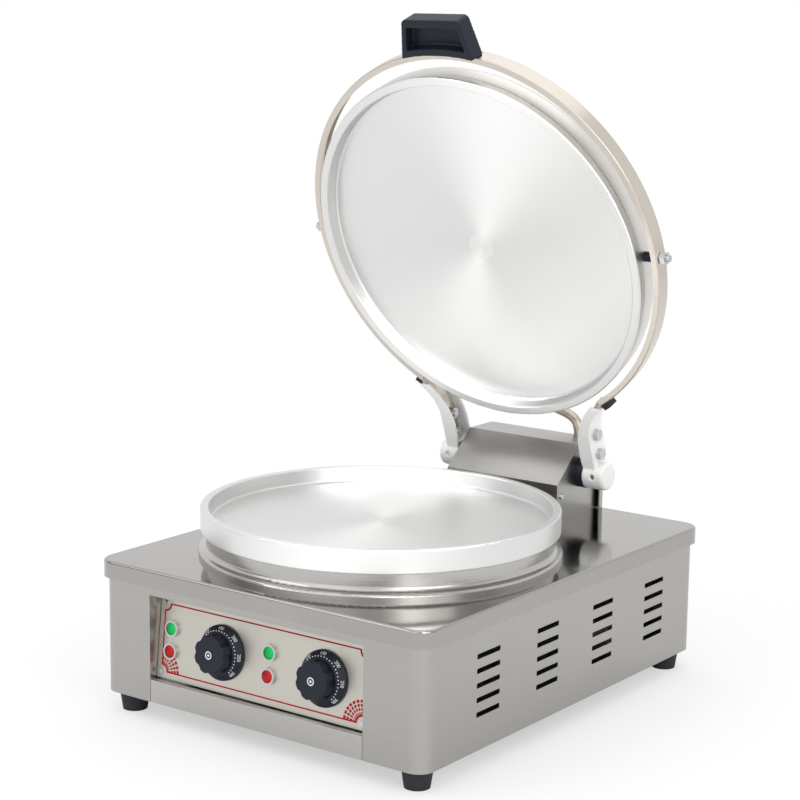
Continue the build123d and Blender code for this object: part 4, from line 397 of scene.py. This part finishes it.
def ringed_cap(name, centre, axis):
    """A black knob cap with a plain light ring."""
    finish = Finish(name, CAP_BLACK, roughness=0.3)
    radius = finish.off_axis(centre, axis)[1]
    ring = radius.below(CAP_RING_OUTER) - radius.below(CAP_RING_INNER) + radius.below(CAP_DOT)
    finish.feed("Base Color", finish.mix(ring, finish.color, CAP_WHITE))
    finish.vary_roughness(finish.noise(scale=900.0), amount=0.1)
    return finish.material


def toned(color, factor):
    """A colour made darker or lighter."""
    return tuple(min(1.0, channel * factor) for channel in color)


def dress(nodes, material):
    """Gives CAD nodes this material."""
    for node in nodes:
        piece = frame["nodes"][node]
        if not piece.material_slots:
            piece.data.materials.append(material)
        for slot in piece.material_slots:
            slot.material = material


def new_piece(name, mesh, material, body):
    """Puts a finished mesh in the scene, riding on a body."""
    if not mesh.polygons:
        raise RuntimeError(name + " came out empty")
    mesh.materials.clear()
    mesh.materials.append(material)
    piece = bpy.data.objects.new(name, mesh)
    bpy.context.scene.collection.objects.link(piece)
    if body:
        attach(piece, body)
    return piece


def applied(piece):
    """The mesh that a piece's modifiers make. The piece itself is removed."""
    bpy.context.view_layer.update()
    evaluated = piece.evaluated_get(bpy.context.evaluated_depsgraph_get())
    mesh = bpy.data.meshes.new_from_object(evaluated)
    piece.modifiers.clear()
    bpy.data.objects.remove(piece)
    return mesh


def softened(node, voxel, passes):
    """A copy of a node's shape with its edges rounded over, as a casting's or a moulding's are."""
    mesh = frame["nodes"][node].data.copy()
    work = bmesh.new()
    work.from_mesh(mesh)
    bmesh.ops.remove_doubles(work, verts=work.verts, dist=WELD_GAP)
    work.to_mesh(mesh)
    work.free()
    piece = bpy.data.objects.new(node + "_copy", mesh)
    bpy.context.scene.collection.objects.link(piece)
    remesh = piece.modifiers.new("remesh", "REMESH")
    remesh.mode = "VOXEL"
    remesh.voxel_size = voxel
    smooth = piece.modifiers.new("smooth", "SMOOTH")
    smooth.factor = 0.5
    smooth.iterations = passes
    made = applied(piece)
    made.shade_smooth()
    return made


def marks_tree(name, round_marks):
    """Geometry nodes that set dots or dashes evenly along an arc, the dashes pointing outwards."""
    tree = bpy.data.node_groups.new(name, "GeometryNodeTree")
    sizes = ("Radius", "Start", "Sweep", "Length", "Width", "Thickness")
    tree.interface.new_socket("Geometry", in_out="OUTPUT", socket_type="NodeSocketGeometry")
    tree.interface.new_socket("Count", in_out="INPUT", socket_type="NodeSocketInt")
    for label in sizes:
        tree.interface.new_socket(label, in_out="INPUT", socket_type="NodeSocketFloat")
    tree.interface.new_socket("Material", in_out="INPUT", socket_type="NodeSocketMaterial")
    nodes = tree.nodes
    link = tree.links.new
    given = nodes.new("NodeGroupInput")
    arc = nodes.new("GeometryNodeCurveArc")
    link(given.outputs["Count"], arc.inputs["Resolution"])
    link(given.outputs["Radius"], arc.inputs["Radius"])
    link(given.outputs["Start"], arc.inputs["Start Angle"])
    link(given.outputs["Sweep"], arc.inputs["Sweep Angle"])
    size = nodes.new("ShaderNodeCombineXYZ")
    link(given.outputs["Length"], size.inputs["X"])
    link(given.outputs["Width"], size.inputs["Y"])
    link(given.outputs["Thickness"], size.inputs["Z"])
    if round_marks:
        ball = nodes.new("GeometryNodeMeshUVSphere")
        ball.inputs["Segments"].default_value = DOT_SEGMENTS
        ball.inputs["Rings"].default_value = DOT_RINGS
        ball.inputs["Radius"].default_value = 0.5
        shape = nodes.new("GeometryNodeTransform")
        link(ball.outputs["Mesh"], shape.inputs["Geometry"])
        link(size.outputs["Vector"], shape.inputs["Scale"])
        mark = shape.outputs["Geometry"]
    else:
        dash = nodes.new("GeometryNodeMeshCube")
        link(size.outputs["Vector"], dash.inputs["Size"])
        mark = dash.outputs["Mesh"]
    place = nodes.new("GeometryNodeInputPosition")
    aim = nodes.new("FunctionNodeAlignRotationToVector")
    aim.axis = "X"
    link(place.outputs["Position"], aim.inputs["Vector"])
    spread = nodes.new("GeometryNodeInstanceOnPoints")
    link(arc.outputs["Curve"], spread.inputs["Points"])
    link(mark, spread.inputs["Instance"])
    link(aim.outputs["Rotation"], spread.inputs["Rotation"])
    real = nodes.new("GeometryNodeRealizeInstances")
    link(spread.outputs["Instances"], real.inputs["Geometry"])
    paint = nodes.new("GeometryNodeSetMaterial")
    link(real.outputs["Geometry"], paint.inputs["Geometry"])
    link(given.outputs["Material"], paint.inputs["Material"])
    result = nodes.new("NodeGroupOutput")
    link(paint.outputs["Geometry"], result.inputs["Geometry"])
    return tree


def marks_mesh(tree, material, values):
    """The mesh of one arc of marks."""
    piece = bpy.data.objects.new("marks", bpy.data.meshes.new("marks"))
    bpy.context.scene.collection.objects.link(piece)
    modifier = piece.modifiers.new("marks", "NODES")
    modifier.node_group = tree
    values = dict(values, Material=material)
    for socket in tree.interface.items_tree:
        if socket.in_out == "INPUT":
            modifier[socket.identifier] = values[socket.name]
    return applied(piece)


def joined(name, meshes):
    """Several meshes as one."""
    whole = bmesh.new()
    for mesh in meshes:
        whole.from_mesh(mesh)
    made = bpy.data.meshes.new(name)
    whole.to_mesh(made)
    whole.free()
    return made


def panel_axes():
    """The panel's outward, sideways and upward directions, from the knobs' joints."""
    outward = Vector(joint_of("left_knob")["axis"]).normalized()
    sideways = Vector((1, 0, 0))
    return sideways, outward.cross(sideways).normalized(), outward


def joint_of(body):
    return next(joint for joint in frame["record"]["behaviour"]["joints"] if joint["child"] == body)


def on_panel(origin, lift=0.0):
    """A matrix that lays a flat drawing on the panel, its centre at origin."""
    sideways, upward, outward = panel_axes()
    turn = Matrix((sideways, upward, outward)).transposed().to_4x4()
    return Matrix.Translation(Vector(origin) + outward * lift) @ turn


def panel_corners():
    """Places of the panel's four corner screws on its face: low and high corner, in panel axes."""
    upward = panel_axes()[1]
    origin = Vector(joint_of("left_knob")["pos_m"])
    low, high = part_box("panel_screws")
    places = []
    for corner in (low, high):
        spot = Vector((corner.x, origin.y, corner.z)) - origin
        places.append(Vector((spot.x, spot.z / upward.z)))
    inset = Vector((SCREW_INSET, SCREW_INSET))
    return places[0] + inset, places[1] - inset


def ribbon(points, width):
    """A closed flat line of even width through points in the plane."""
    work = bmesh.new()
    count = len(points)
    rails = []
    for number, point in enumerate(points):
        before = (point - points[number - 1]).normalized()
        after = (points[(number + 1) % count] - point).normalized()
        along = (before + after).normalized()
        aside = Vector((-along.y, along.x)) * width / 2
        rails.append([work.verts.new((point + aside * side).to_3d()) for side in (1, -1)])
    for number in range(count):
        first, second = rails[number - 1], rails[number]
        work.faces.new((first[0], first[1], second[1], second[0]))
    slab = bmesh.ops.extrude_face_region(work, geom=work.faces[:])
    raised = [part for part in slab["geom"] if isinstance(part, bmesh.types.BMVert)]
    bmesh.ops.translate(work, verts=raised, vec=(0, 0, PRINT_THICKNESS))
    bmesh.ops.recalc_face_normals(work, faces=work.faces[:])
    mesh = bpy.data.meshes.new("ribbon")
    work.to_mesh(mesh)
    work.free()
    return mesh


def border_points(low, high):
    """The printed border: a rectangle through the screws, scooped out round each of them."""
    corners = ((low.x, low.y, 0), (high.x, low.y, 90), (high.x, high.y, 180), (low.x, high.y, 270))
    points = []
    for x, y, start in corners:
        for step in range(CORNER_STEPS + 1):
            turn = math.radians(start + 90 - 90 * step / CORNER_STEPS)
            points.append(Vector((x, y)) + Vector((math.cos(turn), math.sin(turn))) * CORNER_ARC_RADIUS)
    return points


def text_mesh(text, size):
    """Flat text as a solid mesh, centred."""
    curve = bpy.data.curves.new(text, "FONT")
    curve.body = text
    curve.size = size
    curve.align_x = "CENTER"
    curve.align_y = "CENTER"
    curve.extrude = PRINT_THICKNESS / 2
    piece = bpy.data.objects.new(text, curve)
    bpy.context.scene.collection.objects.link(piece)
    return applied(piece)


def dial_height(radius):
    """Height of the dial's sloping face at a radius."""
    share = (DIAL_RADIUS - radius) / (DIAL_RADIUS - DIAL_STEP_RADIUS)
    return DIAL_RIM_HEIGHT + share * (DIAL_TOP_HEIGHT - DIAL_RIM_HEIGHT)


def on_dial(mesh, turn):
    """Wraps flat text round the dial's slope, its top outwards."""
    slope = math.atan2(DIAL_TOP_HEIGHT - DIAL_RIM_HEIGHT, DIAL_RADIUS - DIAL_STEP_RADIUS)
    for vertex in mesh.vertices:
        x, y, lift = vertex.co
        around = turn - x / NUMBER_RING_RADIUS
        radius = NUMBER_RING_RADIUS + y * math.cos(slope) + lift * math.sin(slope)
        height = dial_height(NUMBER_RING_RADIUS) - y * math.sin(slope) + lift * math.cos(slope)
        vertex.co = (radius * math.cos(around), radius * math.sin(around), height)
    return mesh


def tube(points, radius, sides):
    """A round tube through points, closed at both ends."""
    work = bmesh.new()
    rings = []
    side = Vector((1, 0, 0))
    for number, point in enumerate(points):
        ahead = points[min(number + 1, len(points) - 1)] - points[max(number - 1, 0)]
        along = ahead.normalized()
        side = (side - along * side.dot(along)).normalized()
        other = along.cross(side)
        ring = []
        for step in range(sides):
            turn = 2 * math.pi * step / sides
            ring.append(work.verts.new(point + (side * math.cos(turn) + other * math.sin(turn)) * radius))
        rings.append(ring)
    for first, second in zip(rings, rings[1:]):
        for step in range(sides):
            following = (step + 1) % sides
            work.faces.new((first[step], first[following], second[following], second[step]))
    work.faces.new(list(reversed(rings[0])))
    work.faces.new(rings[-1])
    bmesh.ops.recalc_face_normals(work, faces=work.faces[:])
    mesh = bpy.data.meshes.new("tube")
    work.to_mesh(mesh)
    work.free()
    mesh.shade_smooth()
    return mesh


def smooth_route(route):
    """Points along one smooth spline whose control points are the route's."""
    curve = bpy.data.curves.new("route", "CURVE")
    curve.dimensions = "3D"
    spline = curve.splines.new("NURBS")
    spline.points.add(len(route) - 1)
    for control, point in zip(spline.points, route):
        control.co = (*point, 1.0)
    spline.order_u = 3
    spline.use_endpoint_u = True
    spline.resolution_u = ROUTE_STEPS
    piece = bpy.data.objects.new("route", curve)
    bpy.context.scene.collection.objects.link(piece)
    return [vertex.co.copy() for vertex in applied(piece).vertices]


class CookerColors(bpy.types.PropertyGroup):
    """Colours of the cooker's finishes."""

    stainless: FloatVectorProperty(
        name="Stainless",
        description="Brushed sheet of the cabinet",
        subtype="COLOR",
        default=(0.405, 0.395, 0.38),
    )
    aluminium: FloatVectorProperty(
        name="Aluminium",
        description="Turned faces of the pans",
        subtype="COLOR",
        default=(0.735, 0.735, 0.73),
    )
    hoop: FloatVectorProperty(
        name="Hoop",
        description="Polished strip of the lid's hoop",
        subtype="COLOR",
        default=(0.60, 0.553, 0.495),
    )
    conduit: FloatVectorProperty(
        name="Conduit",
        description="Metal hose to the upper pan",
        subtype="COLOR",
        default=(0.48, 0.43, 0.36),
    )
    arms: FloatVectorProperty(
        name="Arms",
        description="Painted castings of the hinge",
        subtype="COLOR",
        default=(0.88, 0.88, 0.87),
    )
    plate: FloatVectorProperty(
        name="Panel plate",
        description="Face of the control panel",
        subtype="COLOR",
        default=(0.56, 0.54, 0.49),
    )
    plastic: FloatVectorProperty(
        name="Plastic",
        description="Handle and knobs",
        subtype="COLOR",
        default=(0.012, 0.016, 0.026),
    )
    red_ink: FloatVectorProperty(
        name="Red ink",
        description="Border and fans on the panel",
        subtype="COLOR",
        default=(0.42, 0.004, 0.010),
    )
    white_ink: FloatVectorProperty(
        name="White ink",
        description="Dots and numbers on the dials",
        subtype="COLOR",
        default=(0.80, 0.80, 0.80),
    )


class CookerSizes(bpy.types.PropertyGroup):
    """Sizes of the cooker's added details."""

    dial_dots: IntProperty(name="Dial dots", description="Dots round each dial", default=31, min=2)
    dot_size: FloatProperty(
        name="Dot size",
        description="Width of a dial dot",
        default=1.6 * MM,
        min=0,
        subtype="DISTANCE",
    )
    number_size: FloatProperty(
        name="Number size",
        description="Height of the dial's numbers",
        default=5.2 * MM,
        min=0,
        subtype="DISTANCE",
    )
    cast_grain: FloatProperty(
        name="Cast grain",
        description="Finest step of the castings",
        default=1.0 * MM,
        min=0.1 * MM,
        subtype="DISTANCE",
    )
    knob_grain: FloatProperty(
        name="Knob grain",
        description="Finest step of the knobs",
        default=0.5 * MM,
        min=0.1 * MM,
        subtype="DISTANCE",
    )


class SCENE_OT_cooker_sheet_metal(bpy.types.Operator):
    """Finish the cabinet, deck, panel, hinge box and upper cover"""

    bl_idname = "scene.cooker_sheet_metal"
    bl_label = "Sheet Metal"

    def execute(self, context):
        colors = context.scene.cooker_colors
        steel = colors.stainless
        deck = brushed("brushed_deck", toned(steel, factor=0.9), roughness=0.10, across="Y", amount=0.02)
        dress(["deck_cover"], deck)
        walls = ["cabinet_shell", "hinge_cover", "hinge_back_plate", "base_plate"]
        dress(walls, brushed("brushed_walls", steel, roughness=0.30, across="Z"))
        bright = brushed("bright_sheet", toned(steel, factor=1.15), roughness=0.24, across="Z")
        dress(["front_lower_strip", "pan_collar"], bright)
        plate = brushed("panel_plate", colors.plate, roughness=0.38, across="Z", amount=0.06)
        dress(["control_panel"], plate)
        # Painted light: the upper cover is the cabinet's stainless made 1.8 times lighter, a lit copy of
        # that sheet.
        cover = brushed("lit_cover_sheet", toned(steel, factor=1.8), roughness=0.34, across="X")
        dress(["upper_cover"], cover)
        return {"FINISHED"}


class SCENE_OT_cooker_pans(bpy.types.Operator):
    """Finish the two pans, turned on a lathe"""

    bl_idname = "scene.cooker_pans"
    bl_label = "Pans"

    def execute(self, context):
        color = context.scene.cooker_colors.aluminium
        for node, tilt in (("lower_pan", LOWER_PAN_TILT), ("upper_pan", UPPER_PAN_TILT)):
            low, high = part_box(node)
            axis = Vector((0, math.sin(tilt), math.cos(tilt)))
            middle = (low + high) / 2
            dress([node], turned("turned_" + node, color, roughness=0.34, centre=middle, axis=axis))
        return {"FINISHED"}


class SCENE_OT_cooker_inside(bpy.types.Operator):
    """Finish the pieces inside the cabinet and under the covers"""

    bl_idname = "scene.cooker_inside"
    bl_label = "Inside"

    def execute(self, context):
        sheath = plated("heater_sheath", color=(0.3, 0.3, 0.29), roughness=0.45)
        dress(["lower_heater", "upper_heater", "lower_sensor"], sheath)
        fibre = moulded("mineral_fibre", color=(0.78, 0.77, 0.72), roughness=0.95, grain=300.0)
        dress(["lower_insulation", "upper_insulation"], fibre)
        primed = cast("primed_plate", color=(0.35, 0.36, 0.37), roughness=0.5, metallic=0.2)
        dress(["heater_clamp_plate", "hinge_bracket"], primed)
        pale = moulded("pale_plastic", color=(0.7, 0.68, 0.6), roughness=0.5)
        dress(["lamp_bodies", "thermostat_bodies", "terminal_block"], pale)
        return {"FINISHED"}


class SCENE_OT_cooker_fittings(bpy.types.Operator):
    """Finish the fasteners, feet, bushings, lamps and hoop"""

    bl_idname = "scene.cooker_fittings"
    bl_label = "Fittings"

    def execute(self, context):
        colors = context.scene.cooker_colors
        zinc = plated("zinc_plate", color=(0.56, 0.57, 0.58), roughness=0.26)
        parts = frame["record"]["subparts"]
        dress([part["node"] for part in parts if part["material_slot"] == "zinc_steel"], zinc)
        dress(["lamp_bezels"], plated("bright_bezel", color=(0.50, 0.50, 0.51), roughness=0.16))
        rubber = moulded("black_rubber", color=(0.03, 0.032, 0.037), roughness=0.62, grain=600.0)
        # The arm pads are black sheets lining the arms' channels: partly rubber pads, partly painted
        # shade where the channels lie in shade.
        dress(["feet", "arm_pads"], rubber)
        black = ["pivot_spacers", "hinge_bushings", "left_dial", "right_dial", "cord_gland"]
        dress(black, moulded("black_plastic", colors.plastic, roughness=0.36))
        hoop = brushed("hoop_strip", colors.hoop, roughness=0.24, across="X", amount=0.05)
        dress(["lid_hoop"], hoop)
        fitting = plated("conduit_fitting", colors.conduit, roughness=0.3)
        dress(["conduit_elbow", "conduit_gland"], fitting)
        green = lens("green_lens", color=(0.0, 0.11, 0.025), painted_glow_color=(0.0, 0.9, 0.16))
        dress(["green_lenses"], green)
        red = lens("red_lens", color=(0.16, 0.001, 0.003), painted_glow_color=(0.75, 0.01, 0.01))
        dress(["red_lenses"], red)
        for side in ("left", "right"):
            joint = joint_of(side + "_knob")
            finish = ringed_cap(side + "_cap_ring", joint["pos_m"], Vector(joint["axis"]))
            dress([side + "_cap"], finish)
        return {"FINISHED"}


class SCENE_OT_cooker_castings(bpy.types.Operator):
    """Make the cast arms and the moulded handle"""

    bl_idname = "scene.cooker_castings"
    bl_label = "Arms and Handle"

    def execute(self, context):
        colors = context.scene.cooker_colors
        grain = context.scene.cooker_sizes.cast_grain
        painted = cast("cast_arm", colors.arms, roughness=0.42, metallic=0.05)
        for node in ("arm_left", "arm_right"):
            soft = softened(node, grain, passes=5)
            arm = new_piece(node + "_casting", soft, painted, "lid")
            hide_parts(node)
        plastic = moulded("handle_plastic", colors.plastic, roughness=0.40, grain=700.0)
        soft = softened("handle", grain, passes=6)
        handle = new_piece("handle_moulding", soft, plastic, "lid")
        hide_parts("handle")
        return {"FINISHED"}


class SCENE_OT_cooker_knobs(bpy.types.Operator):
    """Make the knob grips and print the dials"""

    bl_idname = "scene.cooker_knobs"
    bl_label = "Knobs"

    def execute(self, context):
        colors = context.scene.cooker_colors
        sizes = context.scene.cooker_sizes
        plastic = moulded("knob_plastic", colors.plastic, roughness=0.34, grain=1200.0)
        ink = moulded("white_ink", colors.white_ink, roughness=0.5)
        tree = marks_tree("dial_dots", round_marks=True)
        for side in ("left", "right"):
            body = side + "_knob"
            soft = softened(side + "_grip", sizes.knob_grain, passes=4)
            grip = new_piece(body + "_grip", soft, plastic, body)
            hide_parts(side + "_grip")
            place = on_panel(joint_of(body)["pos_m"])
            ring = {
                "Count": sizes.dial_dots,
                "Radius": DOT_RING_RADIUS,
                "Start": DIAL_START - DIAL_SWEEP,
                "Sweep": DIAL_SWEEP,
                "Length": sizes.dot_size,
                "Width": sizes.dot_size,
                "Thickness": sizes.dot_size / 2,
            }
            dots = marks_mesh(tree, ink, ring)
            dots.transform(Matrix.Translation((0, 0, dial_height(DOT_RING_RADIUS))))
            meshes = [dots]
            for number, text in enumerate(DIAL_NUMBERS):
                turn = DIAL_START - DIAL_SWEEP * number / (len(DIAL_NUMBERS) - 1)
                meshes.append(on_dial(text_mesh(text, sizes.number_size), turn))
            marks = joined(body + "_marks", meshes)
            marks.transform(place)
            new_piece(body + "_marks", marks, ink, body)
        return {"FINISHED"}


class SCENE_OT_cooker_panel_print(bpy.types.Operator):
    """Print the panel's border line and its corner fans"""

    bl_idname = "scene.cooker_panel_print"
    bl_label = "Panel Print"

    def execute(self, context):
        ink = moulded("red_ink", context.scene.cooker_colors.red_ink, roughness=0.5)
        low, high = panel_corners()
        meshes = [ribbon(border_points(low, high), LINE_WIDTH)]
        tree = marks_tree("fan_dashes", round_marks=False)
        for x, first_angle in ((low.x, 0.0), (high.x, math.pi / 2)):
            for ring in range(FAN_RINGS):
                values = {
                    "Count": FAN_DASHES,
                    "Radius": FAN_FIRST_RADIUS + FAN_RING_STEP * ring,
                    "Start": first_angle + FAN_MARGIN,
                    "Sweep": math.pi / 2 - 2 * FAN_MARGIN,
                    "Length": FAN_DASH_LENGTH,
                    "Width": FAN_DASH_WIDTH + FAN_DASH_SPREAD * ring,
                    "Thickness": PRINT_THICKNESS,
                }
                dashes = marks_mesh(tree, ink, values)
                dashes.transform(Matrix.Translation((x, low.y, PRINT_THICKNESS / 2)))
                meshes.append(dashes)
        print_mesh = joined("panel_print", meshes)
        print_mesh.transform(on_panel(joint_of("left_knob")["pos_m"], lift=PRINT_THICKNESS / 4))
        new_piece("panel_print", print_mesh, ink, "base")
        return {"FINISHED"}


class SCENE_OT_cooker_conduit(bpy.types.Operator):
    """Make the metal hose, in two lengths that meet near the gland"""

    bl_idname = "scene.cooker_conduit"
    bl_label = "Conduit"

    def execute(self, context):
        metal = plated("conduit_metal", context.scene.cooker_colors.conduit, roughness=0.34)
        low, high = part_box("conduit_gland")
        back = Vector((0, math.sin(UPPER_PAN_TILT), math.cos(UPPER_PAN_TILT)))
        middle = (low + high) / 2
        start = middle + back * GLAND_START
        points = smooth_route([start, start + back * GLAND_STEP, *CONDUIT_ROUTE])
        split = round(len(points) * GLAND_SHARE)
        upper_tube = tube(points[: split + 1], CONDUIT_RADIUS, CONDUIT_SIDES)
        upper = new_piece("conduit_upper", upper_tube, metal, None)
        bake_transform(upper)
        lower_tube = tube(points[split:], CONDUIT_RADIUS, CONDUIT_SIDES)
        lower = new_piece("conduit_lower", lower_tube, metal, None)
        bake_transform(lower)
        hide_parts("conduit")
        return {"FINISHED"}


class SCENE_OT_cooker_stage(bpy.types.Operator):
    """Set up the floor, the studio light, the white background and the camera"""

    bl_idname = "scene.cooker_stage"
    bl_label = "Stage"

    def execute(self, context):
        floor_mesh = bpy.data.meshes.new("floor")
        corners = [(x * FLOOR_HALF, y * FLOOR_HALF, 0) for x, y in ((-1, -1), (1, -1), (1, 1), (-1, 1))]
        floor_mesh.from_pydata(corners, [], [(0, 1, 2, 3)])
        floor = bpy.data.objects.new("floor", floor_mesh)
        context.scene.collection.objects.link(floor)
        floor_mesh.materials.append(self.floor_finish())
        for name, place, size, watts in LIGHTS:
            self.light(context, name, place, size, watts)
        self.sky(context)
        self.camera(context)
        context.scene.view_settings.view_transform = "Standard"
        return {"FINISHED"}

    def floor_finish(self):
        """Pale and matt near the cooker, where its shadow falls, and white to the eye far from it."""
        constants = {"Specular IOR Level": 0.1}
        pale = Finish("pale_floor", color=(0.93, 0.93, 0.93), roughness=0.9, constants=constants)
        pale.vary_color(pale.noise(scale=3.0), amount=0.01)
        path = pale.node("ShaderNodeLightPath")
        seen = pale.shade(path, "Is Camera Ray")
        away = pale.vector("LENGTH", pale.place(), output="Value") / FLOOR_FADE
        white = pale.node("ShaderNodeEmission", None, {"Color": (1, 1, 1, 1), "Strength": 1.0})
        share = (away + FLOOR_WHITE).at_most(1.0) * seen
        blend = pale.node("ShaderNodeMixShader", None, {0: share})
        pale.tree.links.new(pale.shader.outputs[0], blend.inputs[1])
        pale.tree.links.new(white.outputs[0], blend.inputs[2])
        pale.tree.links.new(blend.outputs[0], pale.tree.nodes["Material Output"].inputs["Surface"])
        return pale.material

    def light(self, context, name, place, size, watts):
        """A large soft lamp aimed at the middle of the cooker."""
        lamp = bpy.data.lights.new(name, "AREA")
        lamp.size = size
        lamp.energy = watts
        holder = bpy.data.objects.new(name, lamp)
        holder.location = place
        holder.rotation_euler = (LIGHT_TARGET - Vector(place)).to_track_quat("-Z", "Y").to_euler()
        context.scene.collection.objects.link(holder)

    def sky(self, context):
        """White for the eye and for glass, a softer level as light, and tall strip boxes in metal."""
        world = bpy.data.worlds.new("studio")
        world.use_nodes = True
        context.scene.world = world
        nodes, link = world.node_tree.nodes, world.node_tree.links.new

        def maths(operation, *values):
            made = nodes.new("ShaderNodeMath")
            made.operation = operation
            for socket, value in zip(made.inputs, values):
                if isinstance(value, bpy.types.NodeSocket):
                    link(value, socket)
                else:
                    socket.default_value = value
            return made.outputs[0]

        path = nodes.new("ShaderNodeLightPath")
        glossy = path.outputs["Is Glossy Ray"]
        seen = maths("MAXIMUM", path.outputs["Is Camera Ray"], path.outputs["Is Transmission Ray"])
        white = maths("MAXIMUM", seen, glossy)
        level = maths("MULTIPLY_ADD", white, 1.0 - DIFFUSE_SKY, DIFFUSE_SKY)
        ray = nodes.new("ShaderNodeSeparateXYZ")
        link(nodes.new("ShaderNodeTexCoord").outputs["Generated"], ray.inputs[0])
        azimuth = maths("ARCTAN2", ray.outputs["X"], maths("MULTIPLY", ray.outputs["Y"], -1.0))
        for turn, half_width, amount in STRIP_BOXES:
            aside = maths("ABSOLUTE", maths("SUBTRACT", azimuth, CAMERA_AZIMUTH + turn))
            strip = nodes.new("ShaderNodeMapRange")
            strip.interpolation_type = "SMOOTHSTEP"
            link(aside, strip.inputs["Value"])
            strip.inputs["From Min"].default_value = half_width
            strip.inputs["From Max"].default_value = half_width / STRIP_CORE
            strip.inputs["To Max"].default_value = amount
            level = maths("MULTIPLY_ADD", strip.outputs[0], glossy, level)
        shade = nodes["Background"]
        link(level, shade.inputs["Strength"])
        shade.inputs["Color"].default_value = (1, 1, 1, 1)

    def camera(self, context):
        azimuth, elevation, roll = CAMERA_AZIMUTH, CAMERA_ELEVATION, CAMERA_ROLL
        back = Vector(
            (
                math.sin(azimuth) * math.cos(elevation),
                -math.cos(azimuth) * math.cos(elevation),
                math.sin(elevation),
            )
        )
        level_right = (-back).cross(Vector((0, 0, 1))).normalized()
        level_up = level_right.cross(-back)
        right = level_right * math.cos(roll) + level_up * math.sin(roll)
        up = level_up * math.cos(roll) - level_right * math.sin(roll)
        data = bpy.data.cameras.new("camera")
        data.lens = CAMERA_LENS
        data.sensor_width = CAMERA_SENSOR
        data.clip_end = CAMERA_REACH
        holder = bpy.data.objects.new("camera", data)
        turn = Matrix((right, up, back)).transposed().to_4x4()
        holder.matrix_world = Matrix.Translation(CAMERA_PLACE) @ turn
        context.scene.collection.objects.link(holder)
        context.scene.camera = holder


class VIEW3D_PT_cooker(bpy.types.Panel):
    """Lists the steps that dress the cooker"""

    bl_label = "Pancake Cooker"
    bl_idname = "VIEW3D_PT_cooker"
    bl_space_type = "VIEW_3D"
    bl_region_type = "UI"
    bl_category = "Cooker"

    def draw(self, context):
        layout = self.layout
        for group in (context.scene.cooker_colors, context.scene.cooker_sizes):
            for name in group.bl_rna.properties.keys():
                if name not in ("rna_type", "name"):
                    layout.prop(group, name)
        for operator in STEPS:
            layout.operator(operator.bl_idname)


STEPS = (
    SCENE_OT_cooker_stage,
    SCENE_OT_cooker_sheet_metal,
    SCENE_OT_cooker_pans,
    SCENE_OT_cooker_inside,
    SCENE_OT_cooker_fittings,
    SCENE_OT_cooker_castings,
    SCENE_OT_cooker_knobs,
    SCENE_OT_cooker_panel_print,
    SCENE_OT_cooker_conduit,
)
CLASSES = (CookerColors, CookerSizes, *STEPS, VIEW3D_PT_cooker)


def register():
    for kind in CLASSES:
        bpy.utils.register_class(kind)
    bpy.types.Scene.cooker_colors = PointerProperty(type=CookerColors)
    bpy.types.Scene.cooker_sizes = PointerProperty(type=CookerSizes)


def unregister():
    del bpy.types.Scene.cooker_sizes
    del bpy.types.Scene.cooker_colors
    for kind in reversed(CLASSES):
        bpy.utils.unregister_class(kind)


def main():
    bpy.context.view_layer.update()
    register()
    bpy.ops.scene.cooker_stage()
    bpy.ops.scene.cooker_sheet_metal()
    bpy.ops.scene.cooker_pans()
    bpy.ops.scene.cooker_inside()
    bpy.ops.scene.cooker_fittings()
    bpy.ops.scene.cooker_castings()
    bpy.ops.scene.cooker_knobs()
    bpy.ops.scene.cooker_panel_print()
    bpy.ops.scene.cooker_conduit()


if __name__ == "__main__":
    main()
